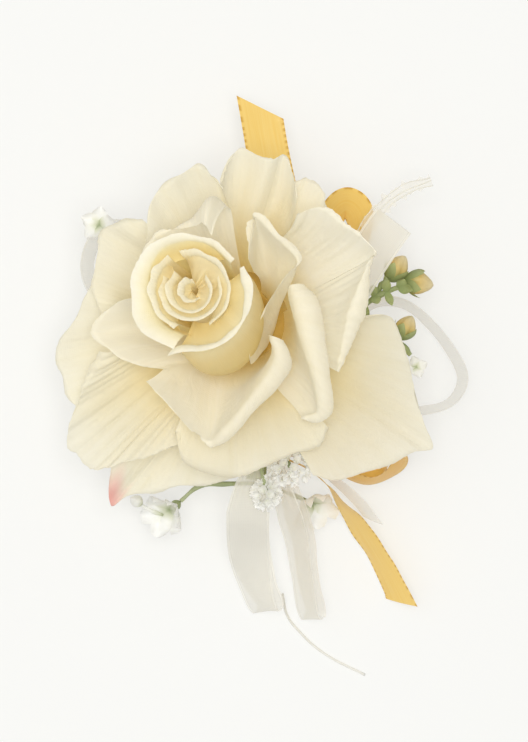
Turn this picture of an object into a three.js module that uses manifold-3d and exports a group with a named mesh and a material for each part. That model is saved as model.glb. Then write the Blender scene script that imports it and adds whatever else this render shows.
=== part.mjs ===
// Wrist corsage: a silk rose with two ribbons and filler sprigs on an elastic wristlet.
// Millimetres, +Z up. The origin is the middle of the face that the relaxed band rests on.
import * as THREE from "three";
import { mergeVertices } from "three/addons/utils/BufferGeometryUtils.js";
import Module from "manifold-3d";

const wasm = await Module();
wasm.setup();

// Clearances
const GAP = 0.3;

// Wristlet
const BAND_LONG = 58;
const BAND_HIGH = 16;
const BAND_WIDE = 15;
const BAND_THICK = 1.2;
const PLATE_WIDE = 9.6;
const PLATE_LONG = 14;
const PLATE_THICK = 0.8;
const TAB_WIDE = 5;
const TAB_THICK = 0.6;
const TAB_REACH_DEG = 68;

// Taped stems
const BUNDLE_RADIUS = 3.5;
const KNOT_WALL = 1.4;
const KNOT_WIDE = 6;
const GOLD_KNOT_Y = -19;
const SHEER_KNOT_Y = -27;

// Rose
const PETAL_THICK = 0.5;
const LAYER_OUT = 0.85;
const LAYER_DOWN = 0.9;
const HEART_RADIUS = 2.5;
const HEART_BASE = 12;
const LEAN_X = -0.255;
const LEAN_Y = 0.172;
const LIP_ROUND = 0.5;
const CALYX_DEEP = 4;
const CALYX_WIDE = 17;
const HUB_BELOW = 2.2;
const HUB_LAYERS = 14.4;
const ROSE_AT = new THREE.Vector3(0, -0.5, 0);

// Ribbons and thread
const RIBBON_WIDE = 10;
const RIBBON_THICK = 0.4;
const PINCH = 0.36;
const THREAD_RADIUS = 0.3;
const STEM_RADIUS = 0.8;

// Heights that follow from the sizes above
const PLATE_TOP = BAND_HIGH + GAP + PLATE_THICK;
const BUNDLE_Z = PLATE_TOP + GAP + BUNDLE_RADIUS;
const CALYX_Z = BUNDLE_Z + BUNDLE_RADIUS + 2 * GAP + TAB_THICK + GAP;
const ROSE_Z = CALYX_Z + CALYX_DEEP + GAP + HUB_BELOW;

// Places are measured on one level plane as seen from straight above,
// and brought along the line of sight to their own height.
const VIEW_X = 4.7;
const VIEW_Y = -11;
const PLANE_Z = ROSE_Z + 14;
const VIEW_FROM = 600;

function seen(x, y, z) {
  const share = (VIEW_FROM + PLANE_Z - z) / VIEW_FROM;
  return new THREE.Vector3(VIEW_X + (x - VIEW_X) * share, VIEW_Y + (y - VIEW_Y) * share, z);
}

const cos = (deg) => Math.cos(THREE.MathUtils.degToRad(deg));
const sin = (deg) => Math.sin(THREE.MathUtils.degToRad(deg));

// A smooth curve through rows of numbers, sampled evenly by the root of the chord
function curveThrough(rows, count) {
  const at = [0];
  for (let i = 1; i < rows.length; i++) {
    const step = Math.hypot(...[0, 1, 2].map((k) => rows[i][k] - rows[i - 1][k]));
    at.push(at[i - 1] + Math.sqrt(step));
  }
  const slope = (i, j, k) => (rows[j][k] - rows[i][k]) / (at[j] - at[i]);
  const last = rows.length - 1;
  const width = rows[0].length;
  const tangent = (i, k) => {
    if (i === 0) return slope(0, 1, k);
    if (i === last) return slope(last - 1, last, k);
    return (slope(i - 1, i, k) + slope(i, i + 1, k)) / 2;
  };
  const out = [];
  for (let s = 0; s < count; s++) {
    const x = (at[last] * s) / (count - 1);
    let i = 0;
    while (i < last - 1 && at[i + 1] < x) i++;
    const h = at[i + 1] - at[i];
    const q = (x - at[i]) / h;
    const a = 2 * q ** 3 - 3 * q ** 2 + 1;
    const b = q ** 3 - 2 * q ** 2 + q;
    const c = 3 * q ** 2 - 2 * q ** 3;
    const d = q ** 3 - q ** 2;
    const row = [];
    for (let k = 0; k < width; k++) {
      row.push(a * rows[i][k] + b * h * tangent(i, k) + c * rows[i + 1][k] + d * h * tangent(i + 1, k));
    }
    out.push(row);
  }
  return out;
}

function geometryOf(points, faces) {
  const geometry = new THREE.BufferGeometry();
  const numbers = points.flatMap((p) => [p.x, p.y, p.z]);
  geometry.setAttribute("position", new THREE.Float32BufferAttribute(numbers, 3));
  geometry.setIndex(faces);
  geometry.computeVertexNormals();
  return geometry;
}

// A grid of points given a thickness on both sides and closed round its rim
function sheet(grid, thick) {
  const rows = grid.length;
  const cols = grid[0].length;
  const upper = [];
  const lower = [];
  for (let i = 0; i < rows; i++) {
    for (let j = 0; j < cols; j++) {
      const down = grid[Math.min(i + 1, rows - 1)][j].clone().sub(grid[Math.max(i - 1, 0)][j]);
      const across = grid[i][Math.min(j + 1, cols - 1)].clone().sub(grid[i][Math.max(j - 1, 0)]);
      const normal = down.cross(across).normalize();
      upper.push(grid[i][j].clone().addScaledVector(normal, thick / 2));
      lower.push(grid[i][j].clone().addScaledVector(normal, -thick / 2));
    }
  }
  const many = upper.length;
  const at = (i, j) => i * cols + j;
  const faces = [];
  const wall = (a, b) => faces.push(b, a, a + many, b, a + many, b + many);
  for (let i = 0; i < rows - 1; i++) {
    for (let j = 0; j < cols - 1; j++) {
      const [a, b, c, d] = [at(i, j), at(i + 1, j), at(i + 1, j + 1), at(i, j + 1)];
      faces.push(a, b, c, a, c, d);
      faces.push(many + a, many + c, many + b, many + a, many + d, many + c);
    }
    wall(at(i, 0), at(i + 1, 0));
    wall(at(i + 1, cols - 1), at(i, cols - 1));
  }
  for (let j = 0; j < cols - 1; j++) {
    wall(at(rows - 1, j), at(rows - 1, j + 1));
    wall(at(0, j + 1), at(0, j));
  }
  return geometryOf([...upper, ...lower], faces);
}

// Closed rings of equal count joined in order, each end capped to its own middle
function rings(sections) {
  const sides = sections[0].length;
  const points = sections.flat();
  const faces = [];
  for (let i = 0; i < sections.length - 1; i++) {
    for (let j = 0; j < sides; j++) {
      const a = i * sides + j;
      const b = i * sides + ((j + 1) % sides);
      faces.push(a, b, b + sides, a, b + sides, a + sides);
    }
  }
  const middle = (ring) => ring.reduce((sum, p) => sum.add(p), new THREE.Vector3()).divideScalar(sides);
  const foot = points.push(middle(sections[0])) - 1;
  const head = points.push(middle(sections[sections.length - 1])) - 1;
  const end = (sections.length - 1) * sides;
  for (let j = 0; j < sides; j++) {
    const next = (j + 1) % sides;
    faces.push(foot, next, j);
    faces.push(head, end + j, end + next);
  }
  return geometryOf(points, faces);
}

function tangents(points) {
  return points.map((p, i) => {
    const before = points[Math.max(i - 1, 0)];
    const after = points[Math.min(i + 1, points.length - 1)];
    return after.clone().sub(before).normalize();
  });
}

const real = (x, y, z) => new THREE.Vector3(x, y, z);

// A round rod along rows of x, y, height as a share of the bundle's height, and radius
function rod(rows, steps, sides, at = seen) {
  return rodThrough(curveThrough(rows, steps), sides, at);
}

function rodThrough(samples, sides, at, more = 0) {
  const points = samples.map((r) => at(r[0], r[1], r[2] * BUNDLE_Z));
  const along = tangents(points);
  const side = new THREE.Vector3(0, 0, 1);
  const sections = points.map((p, i) => {
    const u = new THREE.Vector3().crossVectors(along[i], side).normalize();
    const v = new THREE.Vector3().crossVectors(along[i], u);
    return Array.from({ length: sides }, (_, j) => {
      const turn = (360 * j) / sides;
      const radius = samples[i][3] + more;
      return p.clone().addScaledVector(u, radius * cos(turn)).addScaledVector(v, radius * sin(turn));
    });
  });
  return rings(sections);
}

// A ribbon along rows of x, y, height share, then the compass angle and the rise of its width line
function ribbon(rows, steps, { wide = RIBBON_WIDE, pinch = [PINCH, 1], slant = 0 } = {}) {
  const samples = curveThrough(rows, steps);
  const points = samples.map((r) => seen(r[0], r[1], r[2] * BUNDLE_Z));
  const along = tangents(points);
  const grid = points.map((p, i) => {
    const [, , , turn, rise] = samples[i];
    const line = new THREE.Vector3(cos(turn) * cos(rise), sin(turn) * cos(rise), sin(rise));
    line.addScaledVector(along[i], -line.dot(along[i])).normalize();
    const share = i / (steps - 1);
    const start = Math.min(1, pinch[0] + 4 * share);
    const close = Math.min(1, pinch[1] + 4 * (1 - share));
    const half = (wide / 2) * Math.min(start, close);
    const cut = i === steps - 1 ? slant : 0;
    const edge = (a) => p.clone().addScaledVector(line, a * half).addScaledVector(along[i], a * cut);
    return [edge(-1), edge(1)];
  });
  return sheet(grid, RIBBON_THICK);
}

function solidOf(geometry) {
  const bare = new THREE.BufferGeometry();
  bare.setAttribute("position", geometry.getAttribute("position").clone());
  if (geometry.index) bare.setIndex(geometry.index.clone());
  const merged = mergeVertices(bare, 1e-4);
  const vertProperties = new Float32Array(merged.getAttribute("position").array);
  const triVerts = new Uint32Array(merged.index.array);
  return new wasm.Manifold(new wasm.Mesh({ numProp: 3, vertProperties, triVerts }));
}

function geometryFrom(solid) {
  const mesh = solid.getMesh();
  const geometry = new THREE.BufferGeometry();
  geometry.setAttribute("position", new THREE.BufferAttribute(new Float32Array(mesh.vertProperties), 3));
  geometry.setIndex(Array.from(mesh.triVerts));
  geometry.computeVertexNormals();
  return geometry;
}

const joined = (list) => geometryFrom(list.map(solidOf).reduce((a, b) => a.add(b)));

// Finishes
function finish(color, roughness, metalness = 0) {
  return new THREE.MeshStandardMaterial({ color, roughness, metalness });
}
const SILK = finish("#ead9a6", 0.75);
const SILK_PALE = finish("#ece4cc", 0.75);
const GOLD = finish("#e5c06a", 0.35);
const SHEER = finish("#e0dcd0", 0.5);
const GREEN = finish("#6e7f45", 0.6);
const BUD = finish("#b9b56c", 0.6);
const WHITE = finish("#e9e6df", 0.6);
const TIN = finish("#b9b7b0", 0.35, 1);
const SATIN = finish("#efe9da", 0.5);

const corsage = new THREE.Group();
corsage.name = "wrist_corsage";

function place(name, geometry, material) {
  const mesh = new THREE.Mesh(geometry, material);
  mesh.name = name;
  corsage.add(mesh);
}

// Petals
// Each rim row is x, y on the level plane, height above the rose's base, and the length of rolled lip
// beyond it, negative where the lip folds inward. A swell leans the wall out and its rim back in, most
// near the petal's first side.
function petal({ layer, az, half, low, high, curl = 140, fill = 0.4, swell = 0, rim, steps = 5, cols = 10 }) {
  const rows = curveThrough(rim, cols);
  const deepest = Math.max(...rim.map((r) => Math.abs(r[3])));
  const lipSteps = deepest >= 2 ? 3 : 1;
  const lean = new THREE.Vector3(LEAN_X, LEAN_Y, 1);
  const up = lean.clone().normalize();
  const foot = ROSE_AT.clone().setZ(ROSE_Z);
  const baseRadius = HEART_RADIUS + LAYER_OUT * layer;
  const baseHeight = HEART_BASE - LAYER_DOWN * layer;
  const columns = rows.map((row, j) => {
    const share = j / (cols - 1);
    const turn = az + half * (2 * share - 1);
    const swollen = swell * 12.2 * share * (1 - share) ** 4;
    const rimLean = high - swollen;
    const around = new THREE.Vector3(cos(turn), sin(turn), 0);
    const start = foot.clone().addScaledVector(around, baseRadius).addScaledVector(lean, baseHeight);
    const stop = seen(row[0], row[1], ROSE_Z + row[2]);
    const out = stop.clone().sub(foot.clone().addScaledVector(lean, row[2])).setZ(0).normalize();
    const toward = (deg, flat) => flat.clone().multiplyScalar(sin(deg)).addScaledVector(up, cos(deg));
    const span = start.distanceTo(stop);
    const first = start.clone().addScaledVector(toward(low + swollen, around), fill * span);
    const second = stop.clone().addScaledVector(toward(rimLean, out), -0.35 * span);
    const column = new THREE.CubicBezierCurve3(start, first, second, stop).getPoints(steps);
    const lip = Math.sign(row[3] || 1) * Math.max(Math.abs(row[3]), 0.5);
    // A short lip turns less, so that the cloth never bends tighter than its own round
    const roll = Math.min(curl, THREE.MathUtils.radToDeg(Math.abs(lip) / LIP_ROUND));
    const at = stop.clone();
    for (let i = 0; i < lipSteps; i++) {
      const bend = rimLean + (Math.sign(lip) * roll * (i + 0.5)) / lipSteps;
      at.addScaledVector(toward(bend, out), Math.abs(lip) / lipSteps);
      column.push(at.clone());
    }
    return column;
  });
  const grid = columns[0].map((_, i) => columns.map((column) => column[i]));
  return sheet(grid, PETAL_THICK);
}

// A heart petal's rim: an arc about the bud's own middle, lower towards both of its ends
const BUD_X = -11.5;
const BUD_Y = 7;
const WRAP_DROP = 2.5;
function wrap(from, to, radiusFrom, radiusTo, highFrom, highTo, lip) {
  return Array.from({ length: 7 }, (_, i) => {
    const s = i / 6;
    const turn = from + (to - from) * s;
    const radius = radiusFrom + (radiusTo - radiusFrom) * s;
    const high = highFrom + (highTo - highFrom) * s - WRAP_DROP * (2 * s - 1) ** 4;
    return [BUD_X + radius * cos(turn), BUD_Y + radius * sin(turn), high, lip];
  });
}

const PETALS = {
  heart_petal_1: {
    layer: 0, az: 200, half: 120, low: 3, high: 0, curl: 100,
    rim: wrap(60, 330, 1.7, 2.1, 40, 40, 0.9),
  },
  heart_petal_2: {
    layer: 1, az: 265, half: 120, low: 3, high: 2, curl: 100,
    rim: wrap(130, 400, 4.5, 3.9, 39, 40.5, 0.9),
  },
  heart_petal_3: {
    layer: 2, az: 268, half: 90, low: 4, high: 4, curl: 100,
    rim: wrap(152, 385, 5.9, 6.1, 38.5, 40, 0.9),
  },
  heart_petal_4: {
    layer: 2.8, az: 20, half: 65, low: 5, high: 5, curl: 100,
    rim: wrap(-60, 105, 7.9, 7.9, 39, 39.5, 0.9),
  },
  heart_petal_5: {
    layer: 3.6, az: 187, half: 65, low: 6, high: 5, curl: 100,
    rim: wrap(122, 250, 8.2, 8.2, 38.5, 38.5, 0.9),
  },
  bud_petal_left: {
    layer: 4.4, az: 165, half: 95, low: 14, high: 14, curl: 95,
    rim: [[-2.5, 13.5, 37, 0.5], [-6.5, 17, 38, 0.6], [-12, 18, 38, 0.8], [-18, 16, 37.5, 1.2],
      [-21, 10.5, 36, 1.5], [-20.5, 5, 35, 2], [-18, -0.5, 33, 2.2], [-13, -3, 32, 1.6]],
  },
  bud_petal_right: {
    layer: 5.2, az: -45, half: 75, low: 12, high: -4, fill: 0.5, swell: 40,
    rim: [[-14.5, -4.5, 30.5, 1], [-8.5, -3.8, 34, 1.4], [-4, 0.5, 37, 1.4], [-1, 4.5, 38.5, 1.4],
      [0.5, 8.5, 39, 1.4], [-0.5, 12, 39, 1.2]],
  },
  inner_petal_upper: {
    layer: 6.2, az: 125, half: 52, low: 18, high: 30, curl: 150,
    rim: [[-2.5, 24, 28, -6.5], [-6, 26.4, 30, -6.5], [-12, 22.5, 31.5, 0.8], [-17.5, 20, 31, 1],
      [-21, 17, 30, 1], [-22.5, 11, 27, 1], [-23, 7, 25, 0.5]],
  },
  inner_petal_right: {
    layer: 7.1, az: 8, half: 42, low: 25, high: 15,
    rim: [[4.5, -2, 24, 0.5], [5.5, 5, 26, 0.5], [9, 10, 26, 1], [12, 13.5, 25, 1.8],
      [7, 20, 28, 0.6], [2, 24.5, 29, 0.5]],
  },
  inner_petal_left: {
    layer: 7.1, az: 200, half: 42, low: 35, high: 60, curl: 60,
    rim: [[-23, 5.5, 20, 0.5], [-27, 4.5, 19, 1], [-33, -2, 15, 1], [-29, -6.5, 17, 0.6],
      [-23, -9.5, 18.5, 0.5], [-17, -10.5, 17, 0.5]],
  },
  inner_petal_front: {
    layer: 8.2, az: 268, half: 58, low: 45, high: 35, curl: 190,
    rim: [[-21.5, -13, 19, 0.5], [-15.5, -19.5, 20, 0.5], [-8, -27, 18, 0.5], [-4, -23, 21, 6],
      [1.5, -15.5, 25, 8.5], [6.5, -7.5, 28, 8.5], [6.5, -3, 28, 4]],
  },
  inner_petal_scroll: {
    layer: 9.2, az: -25, half: 38, low: 45, high: 20, curl: 190,
    rim: [[13, -21.5, 14, 0.5], [18.5, -19.5, 17, 1], [19, -15.5, 18, 3], [16, -5, 22, 5],
      [13.5, 4, 24, 5], [11.5, 8, 24, 3]],
  },
  outer_petal_top_left: {
    layer: 9.2, az: 118, half: 38, low: 50, high: 45,
    rim: [[-4.5, 29.5, 18, 1], [-7, 32.5, 19, 1], [-10.5, 34.5, 20, 1], [-16, 31, 21, 1],
      [-20, 27.5, 21, 1], [-21.5, 18.5, 21, 1], [-22, 12, 20, 1]],
  },
  outer_petal_right: {
    layer: 10.2, az: 20, half: 45, low: 50, high: 35, curl: 160,
    rim: [[21, -11, 16, 0.5], [22, -4, 20, 4], [24.5, 5, 23, 4.5], [28, 14, 24, 2],
      [29.5, 15.5, 24, 0.5], [26.5, 19, 24, 0.5], [23, 21.5, 24, 0.5], [17.5, 25.5, 23, 0.5],
      [12, 24, 22, 0.5]],
  },
  outer_petal_front: {
    layer: 10.2, az: 272, half: 42, low: 62, high: 80, curl: 110,
    rim: [[-15, -24.5, 12, 1.4], [-14.5, -27.5, 12, 2.5], [-12, -30.5, 11, 2.5], [-4, -33, 9, 1.5],
      [-0.5, -33.5, 8, 0.5], [8.5, -30, 9, 1], [17, -26.5, 9, 1], [18.5, -23, 8.5, 1]],
  },
  outer_petal_front_left: {
    layer: 11.2, az: 217, half: 34, low: 68, high: 88, curl: 40,
    rim: [[-30.5, -6.5, 10, 1], [-35, -14, 8, 1], [-38, -21, 5, 1], [-39, -27.5, 2, 1],
      [-36.5, -30, 2, 1], [-33, -32.5, 2, 1], [-24.5, -30.5, 5, 1], [-13, -27, 8, 1]],
  },
  outer_petal_top: {
    layer: 11.2, az: 85, half: 32, low: 60, high: 60,
    rim: [[12, 27.5, 14, 0.6], [11, 33, 14, 0.6], [9, 37, 13, 0.6], [5.5, 36, 15, 0.6],
      [-0.5, 38.5, 14, 0.6], [-3.5, 35.5, 15, 0.6], [-5, 31, 16, 0.6]],
  },
  outer_petal_front_right: {
    layer: 12.2, az: -30, half: 42, low: 75, high: 92, curl: 40,
    rim: [[15.5, -34, 2, 0.8], [21.5, -35, 1, 0.8], [31, -31.5, 0, 0.8], [37.5, -28.5, -1, 0.8],
      [42, -28, -2, 0.8], [40.5, -23, 0, 0.8], [36.5, -8.5, 4, 0.8], [32.5, 1, 7, 0.8],
      [24.5, 1, 10, 0.8]],
  },
  outer_petal_left_back: {
    layer: 12.2, az: 152, half: 34, low: 66, high: 75, curl: 90,
    rim: [[-22, 22.5, 12, 1.5], [-26.5, 21.5, 12, 1.5], [-31, 20, 11, 1.5], [-32.5, 15, 11, 1.5],
      [-33, 7, 11, 1.5], [-31, 1.5, 12, 1.5]],
  },
  outer_petal_left: {
    layer: 13.2, az: 187, half: 32, low: 74, high: 90, curl: 60,
    rim: [[-34, 8.5, 7, 0.8], [-37.5, 1, 5, 0.8], [-41.5, -6.5, 2, 0.8], [-40, -12.5, 1, 0.8],
      [-38, -18, 0, 0.8], [-32, -22, 1, 0.8]],
  },
  outer_petal_top_right: {
    layer: 13.2, az: 62, half: 24, low: 74, high: 80,
    rim: [[18.5, 24, 10, 0.5], [17.5, 29.5, 10, 0.5], [14, 31.5, 10, 0.5], [11, 31, 10, 0.5]],
  },
  outer_petal_tinted: {
    layer: 13.6, az: 246, half: 24, low: 80, high: 95,
    rim: [[-29, -31.5, -1, 0.5], [-29.5, -41, -5, 0.5], [-25.5, -38.5, -4, 0.5], [-17.5, -37, -3, 0.5],
      [-5, -35.5, -2, 0.5], [-2, -35, -2, 0.5]],
  },
};
for (const [name, shape] of Object.entries(PETALS)) {
  place(name, petal(shape), name.startsWith("outer") ? SILK_PALE : SILK);
}

// Hub that the petals are glued to, and the calyx under it
const leaned = (radius, turn, high) =>
  new THREE.Vector3(
    ROSE_AT.x + radius * cos(turn) + LEAN_X * high,
    ROSE_AT.y + radius * sin(turn) + LEAN_Y * high,
    ROSE_Z + high,
  );
const round = (radius, high, sides, lobes = 0) =>
  Array.from({ length: sides }, (_, j) => {
    const turn = (360 * j) / sides;
    return leaned(radius * (1 + lobes * cos(5 * turn)), turn, high);
  });
const HUB_IN = 0.4;
function hubAt(layer) {
  return [HEART_RADIUS + LAYER_OUT * layer - HUB_IN, HEART_BASE - LAYER_DOWN * layer - HUB_IN];
}
const [hubTopRadius, hubTopHigh] = hubAt(0);
const [hubFootRadius, hubFootHigh] = hubAt(HUB_LAYERS);
place(
  "rose_hub",
  rings([
    round(hubFootRadius * 0.6, -HUB_BELOW, 20),
    round(hubFootRadius, hubFootHigh, 20),
    round(hubTopRadius, hubTopHigh, 20),
  ]),
  SILK,
);
const CALYX_TOP = -HUB_BELOW - GAP;
place(
  "rose_calyx",
  rings([
    round(CALYX_WIDE * 0.18, CALYX_TOP - CALYX_DEEP, 20),
    round(CALYX_WIDE * 0.3, CALYX_TOP - CALYX_DEEP * 0.7, 20, 0.05),
    round(CALYX_WIDE * 0.42, CALYX_TOP - CALYX_DEEP * 0.25, 20, 0.2),
    round(CALYX_WIDE * 0.5, CALYX_TOP, 20, 0.35),
  ]),
  GREEN,
);

// Taped stems and the two knots tied round them
const BUNDLE = [
  [0, 8.5, 1, BUNDLE_RADIUS * 0.7],
  [0, 6.5, 1, BUNDLE_RADIUS],
  [0, -2, 1, BUNDLE_RADIUS],
  [0, -10, 1, BUNDLE_RADIUS],
  [0.4, -15, 1, BUNDLE_RADIUS],
  [1.6, -24, 0.97, BUNDLE_RADIUS * 0.96],
  [3, -36, 0.86, BUNDLE_RADIUS * 0.7],
];
place("stem_bundle", rod(BUNDLE, 16, 10, real), GREEN);
function sleeve(y) {
  const dense = curveThrough(BUNDLE, 121);
  const stretch = (half) => {
    const near = dense.filter((row) => Math.abs(row[1] - y) <= half);
    return [0, 0.33, 0.66, 1].map((s) => near[Math.round(s * (near.length - 1))]);
  };
  const outer = solidOf(rodThrough(stretch(KNOT_WIDE / 2), 12, real, GAP + KNOT_WALL));
  const inner = solidOf(rodThrough(stretch(KNOT_WIDE / 2 + 1), 12, real, GAP));
  return geometryFrom(outer.subtract(inner));
}
place("gold_knot", sleeve(GOLD_KNOT_Y), GOLD);
place("sheer_knot", sleeve(SHEER_KNOT_Y), SHEER);

// Wristlet: elastic band in four lengths, clamp plate and its four tabs
const RUN_HALF = BAND_LONG / 2 - BAND_HIGH / 2;
const run = new THREE.BoxGeometry(2 * RUN_HALF - GAP, BAND_WIDE, BAND_THICK);
place("band_upper_run", run.clone().translate(0, 0, BAND_HIGH - BAND_THICK / 2), SATIN);
place("band_lower_run", run.clone().translate(0, 0, BAND_THICK / 2), SATIN);
function bend(side) {
  const shape = new THREE.Shape();
  const from = side > 0 ? -Math.PI / 2 : Math.PI / 2;
  shape.absarc(0, 0, BAND_HIGH / 2, from, from + Math.PI, false);
  shape.absarc(0, 0, BAND_HIGH / 2 - BAND_THICK, from + Math.PI, from, true);
  const settings = { depth: BAND_WIDE, bevelEnabled: false, curveSegments: 10 };
  const solid = new THREE.ExtrudeGeometry(shape, settings);
  return solid.rotateX(Math.PI / 2).translate(side * (RUN_HALF + GAP / 2), BAND_WIDE / 2, BAND_HIGH / 2);
}
place("band_bend_left", bend(-1), SATIN);
place("band_bend_right", bend(1), SATIN);

const plate = new THREE.BoxGeometry(PLATE_WIDE, PLATE_LONG, PLATE_THICK);
place("clamp_plate", plate.translate(0, 0, PLATE_TOP - PLATE_THICK / 2), TIN);
const TAB_FOOT = PLATE_WIDE / 2 + GAP + TAB_THICK / 2;
const TAB_OVER = BUNDLE_RADIUS + GAP + TAB_THICK / 2;
const TAB_Y = PLATE_LONG / 2 - TAB_WIDE / 2;
function tab(side, y) {
  const path = [
    [TAB_FOOT, PLATE_TOP - PLATE_THICK],
    [TAB_FOOT, PLATE_TOP + 1],
  ];
  for (let i = 0; i <= 4; i++) {
    const turn = 8 + ((TAB_REACH_DEG - 8) * i) / 4;
    path.push([TAB_OVER * cos(turn), BUNDLE_Z + TAB_OVER * sin(turn)]);
  }
  const edge = (x, z, end) => new THREE.Vector3(side * x, y + (end * TAB_WIDE) / 2, z);
  const grid = path.map(([x, z]) => [edge(x, z, -1), edge(x, z, 1)]);
  return sheet(grid, TAB_THICK);
}
place("clamp_tab_back_left", tab(-1, TAB_Y), TIN);
place("clamp_tab_back_right", tab(1, TAB_Y), TIN);
place("clamp_tab_front_left", tab(-1, -TAB_Y), TIN);
place("clamp_tab_front_right", tab(1, -TAB_Y), TIN);

// Ribbons, each from its knot outward: x, y, height share, compass angle and rise of the width line
const LOOP = { pinch: [PINCH, PINCH] };
const RIBBONS = {
  gold_tail_upper: {
    steps: 20, shape: { slant: -3.7 }, finish: GOLD,
    rows: [
      [6, -14.8, 1.02, -20, 85], [9, -11, 1.02, -10, 88], [11.9, -6, 1.02, -5, 88],
      [12.9, 1, 1.02, -5, 88], [12.4, 10, 1.02, -8, 86], [10, 20, 1, -10, 60], [7.5, 29, 0.97, -13, 15],
      [5.6, 38, 0.9, -12, 0], [3.8, 48.3, 0.78, -12, 0],
    ],
  },
  gold_loop_upper: {
    steps: 26, shape: LOOP, finish: GOLD,
    rows: [
      [6.8, -17.4, 1.02, 150, 80], [12.4, -11, 1.02, 160, 82], [15.8, -3.5, 1.02, 160, 80],
      [18.2, 13, 1, 165, 70], [20, 24, 0.96, 130, 60], [23, 26.8, 0.95, 80, 60],
      [26, 24.5, 0.95, 25, 60], [25.6, 15, 0.98, -10, 68], [20.8, -3, 1.02, -20, 80],
      [7.1, -19.4, 1.02, -30, 80],
    ],
  },
  gold_loop_lower: {
    steps: 26, shape: LOOP, finish: GOLD,
    rows: [
      [7.4, -26.8, 0.9, -130, 85], [17, -30.8, 0.85, -115, 85], [23, -34, 0.82, -110, 80],
      [28, -35.3, 0.82, -90, 75], [32.5, -34, 0.82, -60, 75], [35.4, -30.5, 0.82, -30, 75],
      [34.6, -26.4, 0.83, 20, 75], [26, -24, 0.86, 85, 82], [7.3, -25, 0.92, 90, 85],
    ],
  },
  gold_tail_lower: {
    steps: 18, shape: { slant: 2 }, finish: GOLD,
    rows: [
      [6.1, -29.4, 0.8, 30, 85], [13.5, -32.2, 0.7, 30, 89], [18.4, -35.8, 0.6, 28, 89],
      [21.3, -39.5, 0.5, 27, 84], [25.4, -45, 0.37, 27, 66], [30.8, -53.5, 0.26, 27, 60],
      [35.7, -63, 0.23, 27, 54],
    ],
  },
  sheer_loop_upper: {
    steps: 22, shape: LOOP, finish: SHEER,
    rows: [
      [6, -21.8, 1.2, -35, 0], [9.4, -17.8, 1.31, -35, 0], [14.5, -12, 1.36, -35, 0],
      [23, 6, 1.37, -37, 0], [30.5, 18, 1.33, -37, 0], [33.9, 22.8, 1.36, -37, 0],
      [30.5, 18, 1.4, -37, 0], [23, 6, 1.43, -37, 0], [14.5, -12, 1.46, -35, 0],
      [5.2, -21, 1.36, -35, 0],
    ],
  },
  sheer_loop_right: {
    steps: 30, shape: LOOP, finish: SHEER,
    rows: [
      [7.2, -21.3, 0.98, 120, 85], [16.6, -14.4, 1, 130, 85], [23, -5.5, 1.01, 125, 84],
      [27.5, 2.5, 0.97, 110, 80], [32, 4.6, 0.9, 85, 78], [38, 3, 0.84, 60, 80],
      [45.4, -4.5, 0.8, 35, 79], [49.3, -12.5, 0.8, 10, 78], [46.5, -18, 0.8, -50, 79],
      [38, -20.2, 0.84, -90, 78], [26, -21, 0.9, -95, 84], [8.2, -23.2, 0.95, -90, 85],
    ],
  },
  sheer_loop_left: {
    steps: 30, shape: LOOP, finish: SHEER,
    rows: [
      [-3.6, -27, 1, 200, 75], [-13.5, -15, 1.1, 215, 86], [-24, -2, 1.15, 215, 84],
      [-32, 5, 1.15, 210, 75], [-35, 12, 1.15, 175, 75], [-33, 18.8, 1.15, 140, 75],
      [-27.4, 21.6, 1.15, 95, 75], [-23.8, 17.5, 1.15, 40, 75], [-23.4, 8, 1.15, 10, 75],
      [-19, -4, 1.14, 20, 84], [-11.6, -14, 1.1, 30, 86], [-3.4, -25.2, 1, 30, 75],
    ],
  },
  sheer_loop_front_left: {
    steps: 38, shape: LOOP, finish: SHEER,
    rows: [
      [2.6, -30.7, 1.13, 0, 0], [1.3, -38, 1.12, 0, 0], [1, -45, 1, 0, 0], [1.3, -51.5, 0.68, 0, 5],
      [2.4, -58, 0.4, 8, 34], [4, -63.4, 0.3, 14, 48], [5.2, -65, 0.25, 15, 51],
      [5.9, -63.3, 0.23, 14, 48], [3.5, -58.3, 0.33, 8, 34], [1.4, -51, 0.58, 0, 5],
      [1.1, -44.5, 0.9, 0, 0], [1.6, -38, 1.05, 0, 0], [2.8, -30.9, 1.08, 0, 0],
    ],
  },
  sheer_loop_front_right: {
    steps: 38, shape: LOOP, finish: SHEER,
    rows: [
      [6.6, -30.8, 1.05, 0, 40], [9, -38, 1, 5, 50], [10.7, -44, 0.88, 10, 58], [12, -50, 0.62, 10, 62],
      [13.4, -58, 0.4, 10, 62], [14.5, -65.2, 0.27, 10, 62], [15.4, -66.9, 0.245, 10, 62],
      [16.2, -65.1, 0.225, 10, 62], [14.8, -58.5, 0.36, 10, 62], [13.6, -50, 0.58, 10, 62],
      [12.2, -43.5, 0.84, 10, 58], [10.4, -37.5, 0.95, 5, 50], [8, -30.9, 1, 0, 40],
    ],
  },
  sheer_frayed_tail: {
    steps: 9, shape: { wide: 2.6, pinch: [1, 0.6] }, finish: SHEER,
    rows: [
      [24, 12, 1.32, 110, 0], [29, 23, 1.3, 120, 0], [36, 29.5, 1.28, 125, 0],
      [42.3, 31.8, 1.25, 120, 0],
    ],
  },
  sheer_cut_end: {
    steps: 12, shape: { slant: 1 }, finish: SHEER,
    rows: [
      [7.1, -28.3, 0.86, 40, 85], [15.5, -32, 0.8, 45, 85], [21.4, -36.2, 0.74, 47, 78],
      [26, -40.5, 0.66, 48, 75], [29.2, -44.6, 0.6, 48, 75],
    ],
  },
};
for (const [name, { rows, steps, shape, finish: material }] of Object.entries(RIBBONS)) {
  place(name, ribbon(rows, steps, shape), material);
}

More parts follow.
